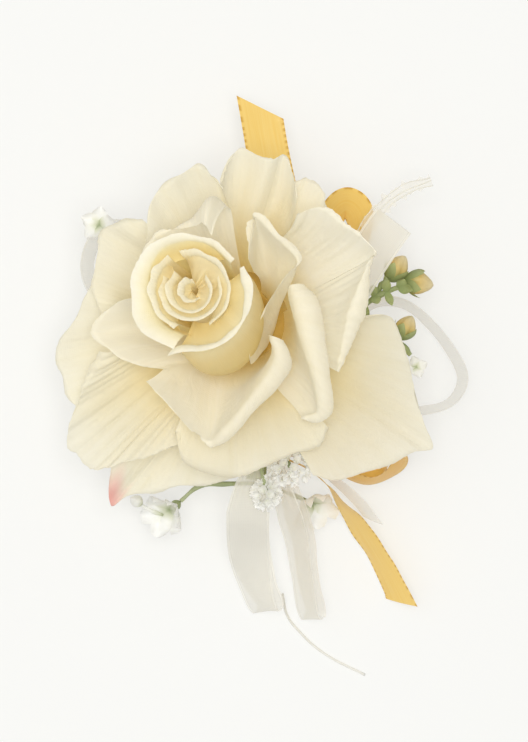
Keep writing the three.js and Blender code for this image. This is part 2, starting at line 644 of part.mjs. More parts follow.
// Thread drawn out of the sheer ribbon, lying on the table
const LOW = (THREAD_RADIUS + 0.05) / BUNDLE_Z;
const THREAD = [
  [8.9, -61.2, 0.36], [9.2, -63.2, 0.2], [9.6, -65.1, 0.06], [10.7, -67.3, LOW], [13, -69.9, LOW],
  [15.7, -72.6, LOW], [20.2, -75.7, LOW], [27.4, -79.3, LOW],
];
place("loose_thread", rod(THREAD.map((row) => [...row, THREAD_RADIUS]), 22, 8), SHEER);

// Filler
const twig = (rows, steps, radius = STEM_RADIUS) => rod(rows.map((row) => [...row, radius]), steps, 6);
function ball(x, y, share, size, turn = 0, rise = 0, sides = 8, bands = 6) {
  const solid = new THREE.SphereGeometry(1, sides, bands).rotateZ(-Math.PI / 2);
  solid.scale(size[0], size[1], size[2]);
  solid.rotateY(-THREE.MathUtils.degToRad(rise)).rotateZ(THREE.MathUtils.degToRad(turn));
  const at = seen(x, y, share * BUNDLE_Z);
  return solid.translate(at.x, at.y, at.z);
}
function floret(x, y, share, reach, lobes, first) {
  const heads = [ball(x, y, share, [reach * 0.3, reach * 0.3, 0.9], 0, 0, 6, 4)];
  for (let i = 0; i < lobes; i++) {
    const turn = first + (360 * i) / lobes;
    const out = 0.55 * reach;
    const lobe = [reach * 0.5, reach * 0.36, 0.6];
    heads.push(ball(x + out * cos(turn), y + out * sin(turn), share, lobe, turn, 12, 6, 4));
  }
  return heads;
}
place(
  "sprig_wire",
  twig([[5.2, -26, 1.18], [12, -20, 1.25], [19, -12, 1.3], [24.1, -2.2, 1.3]], 8),
  GREEN,
);
place(
  "bud_sprig_stem",
  joined([
    twig([[24.2, -1.4, 1.3], [26.5, 3, 1.3], [31, 6.2, 1.25], [37, 8.6, 1.2]], 8),
    twig([[29, 5.2, 1.27], [31.4, 8.6, 1.2], [32.6, 10.3, 1.15]], 5),
    twig([[24.6, -0.6, 1.3], [30, -1.6, 1.3], [35.5, -5, 1.22], [37.6, -7.4, 1.2]], 8),
  ]),
  GREEN,
);
place("sprig_bud_upper", ball(34.7, 12.7, 1.15, [3, 2.2, 2.2], 50), BUD);
place("sprig_bud_end", ball(40.3, 8.3, 1.18, [3, 2.4, 2.4], -10), BUD);
place("sprig_bud_lower", ball(36.5, -1.3, 1.24, [2.6, 2, 2], 60), BUD);
place("sprig_floret", joined(floret(38.9, -10.1, 1.26, 3, 4, 20)), WHITE);

place(
  "upper_floret",
  joined([
    ...floret(-32.4, 21.8, 1.46, 4.6, 5, 10),
    twig([[-3.4, -14.6, 0.97], [-13, -10, 0.86], [-18, -2, 0.86], [-24, 9, 0.86], [-28.6, 15.6, 1],
      [-30.6, 19, 1.3], [-31.6, 20.8, 1.44]], 13),
  ]),
  WHITE,
);
place(
  "lower_floret_stem",
  twig([[2.6, -36.2, 0.86], [-4, -36.4, 0.84], [-10, -37, 0.8], [-14, -40.2, 0.75]], 8, 0.6),
  GREEN,
);
place(
  "lower_floret",
  joined([
    ...floret(-18, -43.4, 0.72, 5, 5, 30),
    twig([[-18, -43.4, 0.72], [-21.5, -42, 0.76], [-24, -40.3, 0.8]], 4, 0.5),
    ball(-24, -40.2, 0.8, [1.6, 1.6, 1.6]),
  ]),
  WHITE,
);
place(
  "front_floret",
  joined([
    ...floret(16.2, -42.2, 0.36, 5.4, 5, 0),
    twig([[16.2, -42.2, 0.36], [13, -40, 0.45], [9, -38, 0.62], [4.3, -35.7, 0.83]], 7, 0.6),
  ]),
  WHITE,
);
function clump(x, y, share, reach, stem) {
  const beads = [stem];
  for (let i = 0; i < 9; i++) {
    const turn = 137.5 * i;
    const out = reach * Math.sqrt(i / 9);
    const dome = 0.4 * reach * cos((90 * out) / reach);
    const at = seen(x + out * cos(turn), y + 0.8 * out * sin(turn), share * BUNDLE_Z + dome);
    const bead = new THREE.IcosahedronGeometry(reach * 0.42, 0).rotateX(i).rotateY(2 * i);
    beads.push(bead.translate(at.x, at.y, at.z));
  }
  return joined(beads);
}
place(
  "blossom_clump_right",
  clump(
    10.5, -32.5, 1.36, 3.4,
    twig([[10.5, -32.5, 1.36], [9.5, -30.5, 1.24], [6.2, -28.3, 1.09]], 4, 0.6),
  ),
  WHITE,
);
place(
  "blossom_clump_left",
  clump(
    5.3, -38.6, 1.26, 2.6,
    twig([[5.3, -38.6, 1.28], [4.4, -34.6, 1.28], [3.4, -29.4, 1.19]], 5, 0.6),
  ),
  WHITE,
);

export default corsage;
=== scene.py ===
"""Wrist corsage: a silk rose with gold satin and sheer organza ribbon, sprigs and a ruched wrist band.

Lengths in the tables are millimetres. Places on the rose, the ribbons and the sprigs are measured on one
level plane as seen from straight above and brought along the line of sight to their own height.
"""

from __future__ import annotations

import logging
from dataclasses import dataclass
from enum import Enum
from typing import Any, Sequence

import bmesh
import bpy
import numpy as np
from mathutils import Euler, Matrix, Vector

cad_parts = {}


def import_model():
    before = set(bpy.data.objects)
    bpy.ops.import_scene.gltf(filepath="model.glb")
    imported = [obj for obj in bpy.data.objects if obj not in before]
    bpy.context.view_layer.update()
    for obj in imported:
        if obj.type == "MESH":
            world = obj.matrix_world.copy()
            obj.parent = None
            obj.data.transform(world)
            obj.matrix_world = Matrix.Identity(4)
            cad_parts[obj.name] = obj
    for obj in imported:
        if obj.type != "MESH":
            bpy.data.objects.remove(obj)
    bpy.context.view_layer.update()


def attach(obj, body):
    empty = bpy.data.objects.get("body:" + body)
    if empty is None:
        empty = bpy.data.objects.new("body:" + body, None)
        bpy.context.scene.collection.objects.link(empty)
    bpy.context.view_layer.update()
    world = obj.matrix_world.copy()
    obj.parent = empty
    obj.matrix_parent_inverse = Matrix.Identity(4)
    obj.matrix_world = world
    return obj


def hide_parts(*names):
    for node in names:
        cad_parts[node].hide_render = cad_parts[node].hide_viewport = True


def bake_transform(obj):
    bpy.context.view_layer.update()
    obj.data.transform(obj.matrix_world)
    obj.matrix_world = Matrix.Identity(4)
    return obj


LOG = logging.getLogger("wrist_corsage")
MM = 0.001

# Heights shared with the solids
BUNDLE_Z = 20.9
ROSE_Z = 32.4
GAP = 0.3

# Line of sight
VIEW = np.array([4.7, -11.0])
PLANE_Z = ROSE_Z + 14.0
VIEW_FROM = 600.0
PIXELS_PER_MM = 4.45
IMAGE_HIGH = 742.0
SENSOR = 36.0

# Cloth and colour
RIBBON_WIDE = 10.0
CLOTH = "cloth_mm"
WHITE = "#ffffff"
THREAD_SCALE = 0.31  # about one dark and one light band to a thread

# Least share of width times length that a petal's cloth is said to fill
SHARE_LEAST = 0.31

Grid = np.ndarray
Tree = bpy.types.NodeTree
Socket = bpy.types.NodeSocket
Material = bpy.types.Material


class Body(Enum):
    """Moving bodies of the frame that the pieces ride on."""

    CORSAGE = "corsage"
    BAND_LOWER = "band_lower"
    FRONT_LEFT = "front_loop_left"
    FRONT_RIGHT = "front_loop_right"
    GOLD_TAIL = "gold_tail"
    BUD_SPRIG = "bud_sprig"
    LOWER_SPRIG = "lower_sprig"


class Slot(Enum):
    """Material slots of the record."""

    SILK = "silk_petal"
    GOLD = "gold_satin"
    SHEER = "sheer_organza"
    BAND = "elastic_band"
    STEM = "green_stem"
    BUD = "bud_plastic"
    FLORET = "floret_plastic"


# Small mathematics

ASKEW = np.array([0.31, 0.17, 0.93])  # a direction along which no bud lies
UPRIGHT = np.array([0.0, 0.0, 1.0])


def seen(x: Grid, y: Grid, z: Grid) -> Grid:
    """Bring a place on the level plane along the line of sight to its own height.

    The offset from the point under the eye grows with the distance from the eye.

    Args:
        x: Places across, in millimetres on the plane.
        y: Places up the picture, in millimetres on the plane.
        z: True heights in millimetres.

    Returns:
        True points, with a last axis of three.
    """
    share = (VIEW_FROM + PLANE_Z - z) / VIEW_FROM
    return np.stack([VIEW[0] + (x - VIEW[0]) * share, VIEW[1] + (y - VIEW[1]) * share, z], axis=-1)


def curve_through(rows: Sequence[Sequence[float]], count: int) -> Grid:
    """Sample a smooth curve through rows of numbers.

    Each span is a cubic with the mean of the neighbouring slopes as its tangents; the parameter is the
    running sum of the root of the chord, so close rows take no kinks.

    Args:
        rows: The rows that the curve passes through.
        count: How many samples to take.

    Returns:
        An array of count rows.
    """
    knots = np.asarray(rows, float)
    at = np.concatenate([[0.0], np.cumsum(np.sqrt(np.linalg.norm(np.diff(knots[:, :3], axis=0), axis=1)))])
    slopes = np.diff(knots, axis=0) / np.diff(at)[:, None]
    tangents = np.vstack([slopes[:1], (slopes[:-1] + slopes[1:]) / 2, slopes[-1:]])
    x = np.linspace(0.0, at[-1], count)
    i = np.clip(np.searchsorted(at, x, side="right") - 1, 0, len(at) - 2)
    h = (at[i + 1] - at[i])[:, None]
    q = (x - at[i])[:, None] / h
    return (
        (2 * q**3 - 3 * q**2 + 1) * knots[i]
        + (q**3 - 2 * q**2 + q) * h * tangents[i]
        + (3 * q**2 - 2 * q**3) * knots[i + 1]
        + (q**3 - q**2) * h * tangents[i + 1]
    )


def unit(vectors: Grid) -> Grid:
    """Scale vectors along the last axis to length one."""
    return vectors / np.maximum(np.linalg.norm(vectors, axis=-1, keepdims=True), 1e-9)


def normals(points: Grid) -> Grid:
    """Surface normals of a grid: the cross product of its two differences."""
    return unit(np.cross(np.gradient(points, axis=0), np.gradient(points, axis=1)))


def run_length(points: Grid) -> Grid:
    """Running length along the first axis of a line of points."""
    steps = np.linalg.norm(np.diff(points, axis=0), axis=-1)
    return np.concatenate([np.zeros_like(steps[:1]), np.cumsum(steps, axis=0)])


def ripple(u: Grid, v: Grid, seed: int, high_u: float, high_v: float, waves: int) -> Grid:
    """Even, repeatable unevenness: the mean of sines of seeded frequency and phase.

    Args:
        u: First parameter.
        v: Second parameter.
        seed: Seed of the frequencies and phases.
        high_u: Highest number of waves per unit of u.
        high_v: Highest number of waves per unit of v.
        waves: How many sines are added.

    Returns:
        Values around zero, mostly between minus one and one.
    """
    rng = np.random.default_rng(seed)
    total = np.zeros(np.broadcast(u, v).shape)
    for fu, fv, phase in rng.uniform([0.2, -1, 0], [1, 1, 1], (waves, 3)):
        total = total + np.sin(2 * np.pi * (fu * high_u * u + fv * high_v * v + phase))
    return total / np.sqrt(waves)


def smooth(x: Grid, low: float, high: float) -> Grid:
    """Rise from nought at low to one at high along a smooth step."""
    t = np.clip((x - low) / (high - low), 0, 1)
    return t * t * (3 - 2 * t)


# Meshes


@dataclass
class Patch:
    """A grid of points with its cloth coordinates and colour reach.

    Attributes:
        points: Rows by columns by three, in millimetres.
        uv: Rows by columns by two, in millimetres along the cloth.
        reach: Nought at the root to one at the tip, which the colours follow.
        tint: Share of the tip colour.
        loop_rows: The last row joins the first.
        loop_cols: The last column joins the first.
    """

    points: Grid
    uv: Grid | None = None
    reach: Grid | None = None
    tint: Grid | None = None
    loop_rows: bool = False
    loop_cols: bool = False

    def faces(self) -> Grid:
        """Four corners of every cell, wrapped where the grid is a loop.

        Returns:
            Rows of four point numbers.
        """
        rows, cols = self.points.shape[:2]
        index = np.arange(rows * cols).reshape(rows, cols)
        if self.loop_rows:
            index = np.vstack([index, index[:1]])
        if self.loop_cols:
            index = np.hstack([index, index[:, :1]])
        corners = [index[:-1, :-1], index[1:, :-1], index[1:, 1:], index[:-1, 1:]]
        return np.stack(corners, axis=-1).reshape(-1, 4)

    def corner_uv(self) -> Grid:
        """Cloth coordinates of every cell's corners, running on past a seam.

        Returns:
            Four rows of two for each cell.
        """
        uv = self.uv if self.uv is not None else self.plain_uv()
        if self.loop_rows:
            uv = np.concatenate([uv, uv[-1:] * 2 - uv[-2:-1]], axis=0)
        if self.loop_cols:
            uv = np.concatenate([uv, uv[:, -1:] * 2 - uv[:, -2:-1]], axis=1)
        corners = [uv[:-1, :-1], uv[1:, :-1], uv[1:, 1:], uv[:-1, 1:]]
        return np.stack(corners, axis=2).reshape(-1, 2)

    def plain_uv(self) -> Grid:
        """Mean running lengths across and along the grid.

        Returns:
            Rows by columns by two, in millimetres.
        """
        across = run_length(self.points.swapaxes(0, 1)).mean(axis=1)
        along = run_length(self.points).mean(axis=1)
        return np.stack(np.meshgrid(across, along), axis=-1)

    def area(self) -> float:
        """Area of one side in square millimetres."""
        cross = np.cross(np.diff(self.points, axis=0)[:, :-1], np.diff(self.points, axis=1)[:-1])
        return float(np.linalg.norm(cross, axis=-1).sum())


def mesh_object(name: str, patches: Sequence[Patch], closed: bool = False) -> bpy.types.Object:
    """Make one object out of patches, with its place in its mesh.

    Args:
        name: Name of the object.
        patches: Grids that make up the piece.
        closed: The patches are closed bodies, whose poles are merged and whose faces are turned outward.

    Returns:
        The linked object.
    """
    points, faces, uv, reach, tint = [], [], [], [], []
    first = 0
    for patch in patches:
        shape = patch.points.shape[:2]
        points.append(patch.points.reshape(-1, 3) * MM)
        faces.append(patch.faces() + first)
        uv.append(patch.corner_uv())
        reach.append(np.broadcast_to(0.0 if patch.reach is None else patch.reach, shape).ravel())
        tint.append(np.broadcast_to(0.0 if patch.tint is None else patch.tint, shape).ravel())
        first += shape[0] * shape[1]
    mesh = bpy.data.meshes.new(name)
    mesh.from_pydata(np.concatenate(points), [], np.concatenate(faces))
    layer = mesh.uv_layers.new(name=CLOTH)
    layer.data.foreach_set("uv", np.concatenate(uv).astype(np.float32).ravel())
    for label, values in (("reach", reach), ("tint", tint)):
        attribute = mesh.attributes.new(label, "FLOAT", "POINT")
        attribute.data.foreach_set("value", np.concatenate(values).astype(np.float32))
    if closed:
        work = bmesh.new()
        work.from_mesh(mesh)
        bmesh.ops.remove_doubles(work, verts=work.verts, dist=0.001 * MM)
        bmesh.ops.recalc_face_normals(work, faces=work.faces)
        work.to_mesh(mesh)
        work.free()
    mesh.shade_smooth()
    piece = bpy.data.objects.new(name, mesh)
    bpy.context.scene.collection.objects.link(piece)
    return piece


def tube(path: Grid, radius: Grid, sides: int) -> Patch:
    """Carry a circle along a path and close both ends to a point.

    Each ring lies across the path; two more rings of no radius close the ends.

    Args:
        path: Points along the middle, in millimetres.
        radius: One radius for each point, or a grid of one for each point and side.
        sides: Points round the ring.

    Returns:
        A closed patch whose reach runs along the path.
    """
    along = unit(np.gradient(path, axis=0))
    side = unit(np.cross(along, np.array([0.05, 0.03, 1.0])))
    up = np.cross(along, side)
    turn = np.linspace(0, 2 * np.pi, sides, endpoint=False)
    ring = side[:, None] * np.cos(turn)[None, :, None] + up[:, None] * np.sin(turn)[None, :, None]
    wide = np.broadcast_to(np.asarray(radius, float).reshape(len(path), -1), (len(path), sides))
    points = path[:, None] + ring * wide[..., None]
    ends = np.repeat(path[[0, -1], None], sides, 1)
    points = np.concatenate([ends[:1], points, ends[1:]])
    reach = np.linspace(0, 1, len(points))[:, None]
    return Patch(points, reach=np.repeat(reach, sides, 1), loop_cols=True)


def bud_radius(s: Grid, wide: float, blunt: float) -> Grid:
    """Radius of a bud at a way from root to tip: a sine raised to a power, fuller towards the root."""
    return wide * np.sin(np.pi * s) ** blunt * (1.12 - 0.3 * s)


def egg(centre: Grid, axis: Grid, half: float, wide: float, blunt: float, lobes: int, cut: float) -> Patch:
    """An egg-shaped body of revolution with shallow lobes.

    Args:
        centre: Middle in millimetres.
        axis: Direction of its tip.
        half: Half its length.
        wide: Its greatest radius.
        blunt: Power of the sine; a smaller one gives blunter ends.
        lobes: How many lobes go round.
        cut: Depth of the grooves between the lobes, as a share.

    Returns:
        A closed patch whose reach runs from root to tip.
    """
    rows, sides = 22, 28
    s = np.linspace(0, 1, rows)[:, None]
    turn = np.linspace(0, 2 * np.pi, sides, endpoint=False)[None, :]
    axis = unit(np.asarray(axis, float))
    side = unit(np.cross(axis, ASKEW))
    up = np.cross(axis, side)
    groove = 1 - cut * np.abs(np.sin(lobes * turn / 2 + 1.2 * s)) ** 6
    radius = bud_radius(s, wide, blunt) * groove
    points = centre + axis * ((2 * s - 1) * half + 0 * turn)[..., None]
    points = points + side * (radius * np.cos(turn))[..., None] + up * (radius * np.sin(turn))[..., None]
    return Patch(points, reach=np.repeat(s, sides, 1), loop_cols=True)


def blade(centre: Grid, out: Grid, up: Grid, reach: float, wide: float, cup: float, seed: int) -> Patch:
    """One small cupped floret petal.

    Its half width is the root of a sine along its length, and it rises towards its rim and sides by a cup.

    Args:
        centre: Root in millimetres.
        out: Direction from root to tip.
        up: Direction of its face.
        reach: Its length.
        wide: Its greatest half width.
        cup: Rise of rim and sides, as a share of its length.
        seed: Seed of its crinkle.

    Returns:
        An open patch.
    """
    rows, cols = 10, 9
    v = np.linspace(0, 1, rows)[:, None]
    u = np.linspace(-1, 1, cols)[None, :]
    out, up = unit(np.asarray(out, float)), unit(np.asarray(up, float))
    across = np.cross(up, out)
    half = wide * np.sqrt(np.sin(np.pi * (0.06 + 0.86 * v)))
    lift = cup * reach * (v**2 + 0.5 * u**2 * v) + 0.08 * reach * ripple(u / 2, v, seed, 1.5, 1.5, 5) * v
    length = reach * v * (1 - 0.14 * u**2 * v)
    points = centre + out * length[..., None] + across * (half * u)[..., None] + up * lift[..., None]
    return Patch(points, reach=np.repeat(v, cols, 1))


# Materials


def linear(colour: str) -> tuple[float, float, float, float]:
    """Turn an sRGB hex value into linear colour: a straight foot, then a power of 2.4.

    Args:
        colour: Hash sign and six digits.

    Returns:
        Red, green, blue and alpha.
    """
    parts = np.array([int(colour[i : i + 2], 16) for i in (1, 3, 5)]) / 255
    value = np.where(parts <= 0.04045, parts / 12.92, ((parts + 0.055) / 1.055) ** 2.4)
    return (*map(float, value), 1.0)


def add(
    tree: Tree, kind: str, inputs: dict[Any, Any], out: int | str = 0,
    stops: Sequence[tuple[float, str]] = (), **settings: Any,
) -> Socket:
    """Add a node with its settings, and link or set its inputs.

    Args:
        tree: Node tree of the material.
        kind: Type name of the shader node.
        inputs: Socket name or number to a value, or to a socket that is linked.
        out: Name or number of the output that is wanted.
        stops: Places and hex colours, where the node is a colour ramp.
        settings: Properties of the node.

    Returns:
        That output.
    """
    node = tree.nodes.new(f"ShaderNode{kind}")
    for label, value in settings.items():
        setattr(node, label, value)
    for key, value in inputs.items():
        if isinstance(value, Socket):
            tree.links.new(value, node.inputs[key])
        else:
            node.inputs[key].default_value = value
    for number, (place, colour) in enumerate(stops):
        elements = node.color_ramp.elements
        element = elements[number] if number < len(elements) else elements.new(place)
        element.position, element.color = place, linear(colour)
    return node.outputs[out]


def weave(tree: Tree, cloth: Socket, thread_mm: float, wander: float, operation: str) -> Socket:
    """Bands of warp and weft threads, crossed by an arithmetic operation.

    Args:
        tree: Node tree of the material.
        cloth: Place on the cloth in millimetres.
        thread_mm: Width of a thread.
        wander: How far the threads stray.
        operation: Name of the operation.

    Returns:
        Height of the crossed threads.
    """
    fine = add(tree, "Mapping", {"Vector": cloth, "Scale": (1 / thread_mm, 1 / thread_mm, 1)})
    inputs = {"Vector": fine, "Scale": THREAD_SCALE, "Distortion": wander}
    warp = add(tree, "TexWave", inputs, "Fac", bands_direction="X")
    weft = add(tree, "TexWave", inputs, "Fac", bands_direction="Y")
    return add(tree, "Math", {0: warp, 1: weft}, operation=operation)


def edge_share(tree: Tree, across: Socket, edge_mm: float, full_mm: float) -> Socket:
    """Share of a ribbon's edge: nought on its face, rising to one near its border.

    Args:
        tree: Node tree of the material.
        across: Place across the ribbon in millimetres.
        edge_mm: Distance from the border where the edge starts.
        full_mm: Distance from the border where it is whole.

    Returns:
        The share.
    """
    off = add(tree, "Math", {0: across, 1: RIBBON_WIDE / 2}, operation="SUBTRACT")
    away = add(tree, "Math", {0: off}, operation="ABSOLUTE")
    ends = {"From Min": RIBBON_WIDE / 2 - edge_mm, "From Max": RIBBON_WIDE / 2 - full_mm}
    return add(tree, "MapRange", {"Value": away, **ends})


def start_material(name: str) -> tuple[Material, Tree, bpy.types.Node]:
    """Start a material.

    Args:
        name: Its name.

    Returns:
        The material, its node tree and its main shader.
    """
    material = bpy.data.materials.new(name)
    material.use_nodes = True
    tree = material.node_tree
    return material, tree, tree.nodes["Principled BSDF"]


def surface(
    tree: Tree, shader: bpy.types.Node, colour: Socket, height: Socket, strength: float, deep_mm: float,
    values: dict[str, float],
) -> Socket:
    """Give a shader its colour, bump and other values.

    Args:
        tree: Node tree of the material.
        shader: Its main shader.
        colour: Base colour.
        height: Height of the bump.
        strength: Strength of the bump.
        deep_mm: Depth of the bump.
        values: Other inputs by name.

    Returns:
        The bumped normal.
    """
    normal = add(tree, "Bump", {"Height": height, "Strength": strength, "Distance": deep_mm * MM}, "Normal")
    tree.links.new(colour, shader.inputs["Base Color"])
    tree.links.new(normal, shader.inputs["Normal"])
    for label, value in values.items():
        shader.inputs[label].default_value = value
    return normal


def show(tree: Tree, shader: Socket) -> None:
    """Make a shader the material's surface."""
    tree.links.new(shader, tree.nodes["Material Output"].inputs["Surface"])


def let_through(tree: Tree, shader: bpy.types.Node, colour: Socket, normal: Socket, share: float) -> None:
    """Let a thin piece pass part of the light that falls on its other side.

    Args:
        tree: Node tree of the material.
        shader: Its main shader.
        colour: Colour of the light that comes through.
        normal: Bumped normal.
        share: Share of the light that passes.
    """
    through = add(tree, "BsdfTranslucent", {"Color": colour, "Normal": normal})
    show(tree, add(tree, "MixShader", {"Fac": share, 1: shader.outputs["BSDF"], 2: through}))


@dataclass(frozen=True)
class SilkPetal:
    """Woven polyester petal, cut hot, dyed darker at the root and pressed with fan veins.

    The eye sees a matte cream cloth with a golden throat; soft streaks from root to rim are painted shade,
    darker where the pressed veins run low.
    """

    name: str
    stops: tuple[tuple[float, str], ...]
    vein_mm: float = 2.6
    vein_long_mm: float = 22.0
    vein_depth: float = 0.3
    crinkle_mm: float = 5.0
    crinkle_share: float = 1.6
    thread_mm: float = 0.5  # real threads are finer; drawn this coarse so that they show
    thread_share: float = 0.12
    bump_mm: float = 0.6
    # painted shade: colour that the cloth is darkened towards in the low grooves of the veins
    vein_shade: str = "#f2ecd2"
    vein_shade_share: float = 0.2
    tip: str = "#f4b4aa"
    through: float = 0.45

    def material(self) -> Material:
        """Colour by reach, painted shade in the vein grooves and tinted tip; bump by veins, threads and
        creases.

        Returns:
            The finished material.
        """
        material, tree, shader = start_material(self.name)
        reach = add(tree, "Attribute", {}, "Fac", attribute_name="reach")
        tint = add(tree, "Attribute", {}, "Fac", attribute_name="tint")
        cloth = add(tree, "UVMap", {}, uv_map=CLOTH)
        fan = add(tree, "Mapping", {"Vector": cloth, "Scale": (1 / self.vein_mm, 1 / self.vein_long_mm, 1)})
        veins = add(tree, "TexNoise", {"Vector": fan, "Scale": 1.0, "Detail": 3.0, "Roughness": 0.6}, "Fac")
        fold = {"Vector": cloth, "Scale": 1 / self.crinkle_mm, "Detail": 2.0, "Distortion": 0.8}
        creases = add(tree, "TexNoise", fold, "Fac")
        threads = weave(tree, cloth, self.thread_mm, 0.6, "MULTIPLY")
        base = add(tree, "ValToRGB", {"Fac": reach}, stops=self.stops)
        # painted shade: the vein grooves, where the bump is low, are darkened
        vein_shade = add(tree, "ValToRGB", {"Fac": veins}, stops=((0.3, self.vein_shade), (0.7, WHITE)))
        mixed = {"Factor": self.vein_shade_share, 6: base, 7: vein_shade}
        vein_shaded = add(tree, "Mix", mixed, 2, data_type="RGBA", blend_type="MULTIPLY")
        colour = add(tree, "Mix", {"Factor": tint, 6: vein_shaded, 7: linear(self.tip)}, 2, data_type="RGBA")
        pressed = add(tree, "Math", {0: threads, 1: self.thread_share, 2: veins}, operation="MULTIPLY_ADD")
        height = add(tree, "Math", {0: creases, 1: self.crinkle_share, 2: pressed}, operation="MULTIPLY_ADD")
        matte = {"Roughness": 0.7, "Specular IOR Level": 0.25, "Sheen Weight": 0.15}
        normal = surface(tree, shader, colour, height, self.vein_depth, self.bump_mm, matte)
        let_through(tree, shader, colour, normal, self.through)
        return material


@dataclass(frozen=True)
class SatinRibbon:
    """Gold polyester satin, woven with a corded edge.

    The eye sees a soft gloss drawn out along the ribbon, partly painted as lighter streaks along its ribs,
    and a line of short stitches along each edge.
    """

    name: str = "gold_polyester_satin_woven"
    face: str = "#f6cc66"
    # painted sheen: the lighter colour that the ribs are streaked towards
    light: str = "#fbdb88"
    edge: str = "#d9a945"
    through: float = 0.42
    edge_mm: float = 0.75
    full_mm: float = 0.25
    stitch_mm: float = 1.5
    stitch_sharp: float = 0.4
    stitch_share: float = 1.5
    rib_mm: float = 0.35  # satin ribs are finer; drawn this coarse so that they show
    rib_long_mm: float = 14.0
    depth: float = 0.14
    bump_mm: float = 0.2

    def material(self) -> Material:
        """Colour by ribs with painted sheen and by edge stitches, bump by both, gloss also from a lowered
        roughness.

        Returns:
            The finished material.
        """
        material, tree, shader = start_material(self.name)
        cloth = add(tree, "UVMap", {}, uv_map=CLOTH)
        place = add(tree, "SeparateXYZ", {"Vector": cloth}).node.outputs
        rim = edge_share(tree, place["X"], self.edge_mm, self.full_mm)
        dash = add(tree, "Math", {0: place["Y"], 1: 2 * np.pi / self.stitch_mm}, operation="MULTIPLY")
        wave = add(tree, "Math", {0: dash}, operation="SINE")
        ends = {"From Min": -self.stitch_sharp, "From Max": self.stitch_sharp}
        dashed = add(tree, "MapRange", {"Value": wave, **ends})
        stitch = add(tree, "Math", {0: rim, 1: dashed}, operation="MULTIPLY")
        drawn = add(tree, "Mapping", {"Vector": cloth, "Scale": (1 / self.rib_mm, 1 / self.rib_long_mm, 1)})
        ribs = add(tree, "TexNoise", {"Vector": drawn, "Scale": 1.0, "Detail": 2.0}, "Fac")
        # the rib streaks are partly woven tone and partly painted sheen
        painted_rib_sheen = add(tree, "ValToRGB", {"Fac": ribs}, stops=((0.1, self.face), (0.9, self.light)))
        colour = add(tree, "Mix", {"Factor": stitch, 6: painted_rib_sheen, 7: linear(self.edge)}, 2, data_type="RGBA")
        height = add(tree, "Math", {0: stitch, 1: self.stitch_share, 2: ribs}, operation="MULTIPLY_ADD")
        gloss = {"Roughness": 0.42, "Specular IOR Level": 0.5, "Sheen Weight": 0.2}
        normal = surface(tree, shader, colour, height, self.depth, self.bump_mm, gloss)
        let_through(tree, shader, colour, normal, self.through)
        return material


@dataclass(frozen=True)
class SheerOrganza:
    """White nylon organza, plain woven of single filaments with a denser bright edge.

    The eye looks through the middle of the ribbon and sees its two edges as pale lines.
    """

    name: str = "white_nylon_organza_woven"
    face: str = "#f6f3e8"
    edge: str = "#faf8ef"
    edge_mm: float = 0.7
    full_mm: float = 0.4
    thread_mm: float = 0.4  # filaments are finer; drawn this coarse so that they show
    depth: float = 0.06
    bump_mm: float = 0.1
    thin: float = 0.46
    thick: float = 0.5
    most: float = 0.72
    through: float = 0.45

    def material(self) -> Material:
        """Cover by weave and edge, colour by edge.

        Returns:
            The finished material.
        """
        material, tree, shader = start_material(self.name)
        cloth = add(tree, "UVMap", {}, uv_map=CLOTH)
        place = add(tree, "SeparateXYZ", {"Vector": cloth}).node.outputs
        rim = edge_share(tree, place["X"], self.edge_mm, self.full_mm)
        threads = weave(tree, cloth, self.thread_mm, 1.0, "MAXIMUM")
        cover = add(tree, "MapRange", {"Value": threads, "To Min": self.thin, "To Max": self.thick})
        dense = add(tree, "Math", {0: cover, 1: rim}, operation="MAXIMUM")
        kept = add(tree, "Math", {0: dense, 1: self.most}, operation="MINIMUM")
        both = {"Factor": rim, 6: linear(self.face), 7: linear(self.edge)}
        colour = add(tree, "Mix", both, 2, data_type="RGBA")
        soft = {"Roughness": 0.5, "Sheen Weight": 0.3}
        surface(tree, shader, colour, threads, self.depth, self.bump_mm, soft)
        through = add(tree, "BsdfTranslucent", {"Color": colour})
        lit = add(tree, "MixShader", {"Fac": self.through, 1: shader.outputs["BSDF"], 2: through})
        open_weave = add(tree, "BsdfTransparent", {})
        show(tree, add(tree, "MixShader", {"Fac": kept, 1: open_weave, 2: lit}))
        return material


@dataclass(frozen=True)
class MouldedPiece:
    """Soft moulded polyethylene or coated wire, coloured from root to tip.

    The eye sees a dull waxy skin with a mottled colour.
    """

    name: str
    stops: tuple[tuple[float, str], ...]
    translucent: float = 0.1
    shade: str = "#dcd8c8"
    shade_share: float = 0.3
    rough: float = 0.5
    mottle_mm: float = 1.2
    depth: float = 0.2
    bump_mm: float = 0.3

    def material(self) -> Material:
        """Colour by reach and mottle, bump by mottle.

        Returns:
            The finished material.
        """
        material, tree, shader = start_material(self.name)
        reach = add(tree, "Attribute", {}, "Fac", attribute_name="reach")
        place = add(tree, "TexCoord", {}, "Object")
        fine = 1 / (self.mottle_mm * MM)
        mottle = add(tree, "TexNoise", {"Vector": place, "Scale": fine, "Detail": 3.0}, "Fac")
        shade = add(tree, "ValToRGB", {"Fac": mottle}, stops=((0.3, self.shade), (0.7, WHITE)))
        base = add(tree, "ValToRGB", {"Fac": reach}, stops=self.stops)
        mixed = {"Factor": self.shade_share, 6: base, 7: shade}
        colour = add(tree, "Mix", mixed, 2, data_type="RGBA", blend_type="MULTIPLY")
        normal = surface(tree, shader, colour, mottle, self.depth, self.bump_mm, {"Roughness": self.rough})
        let_through(tree, shader, colour, normal, self.translucent)
        return material


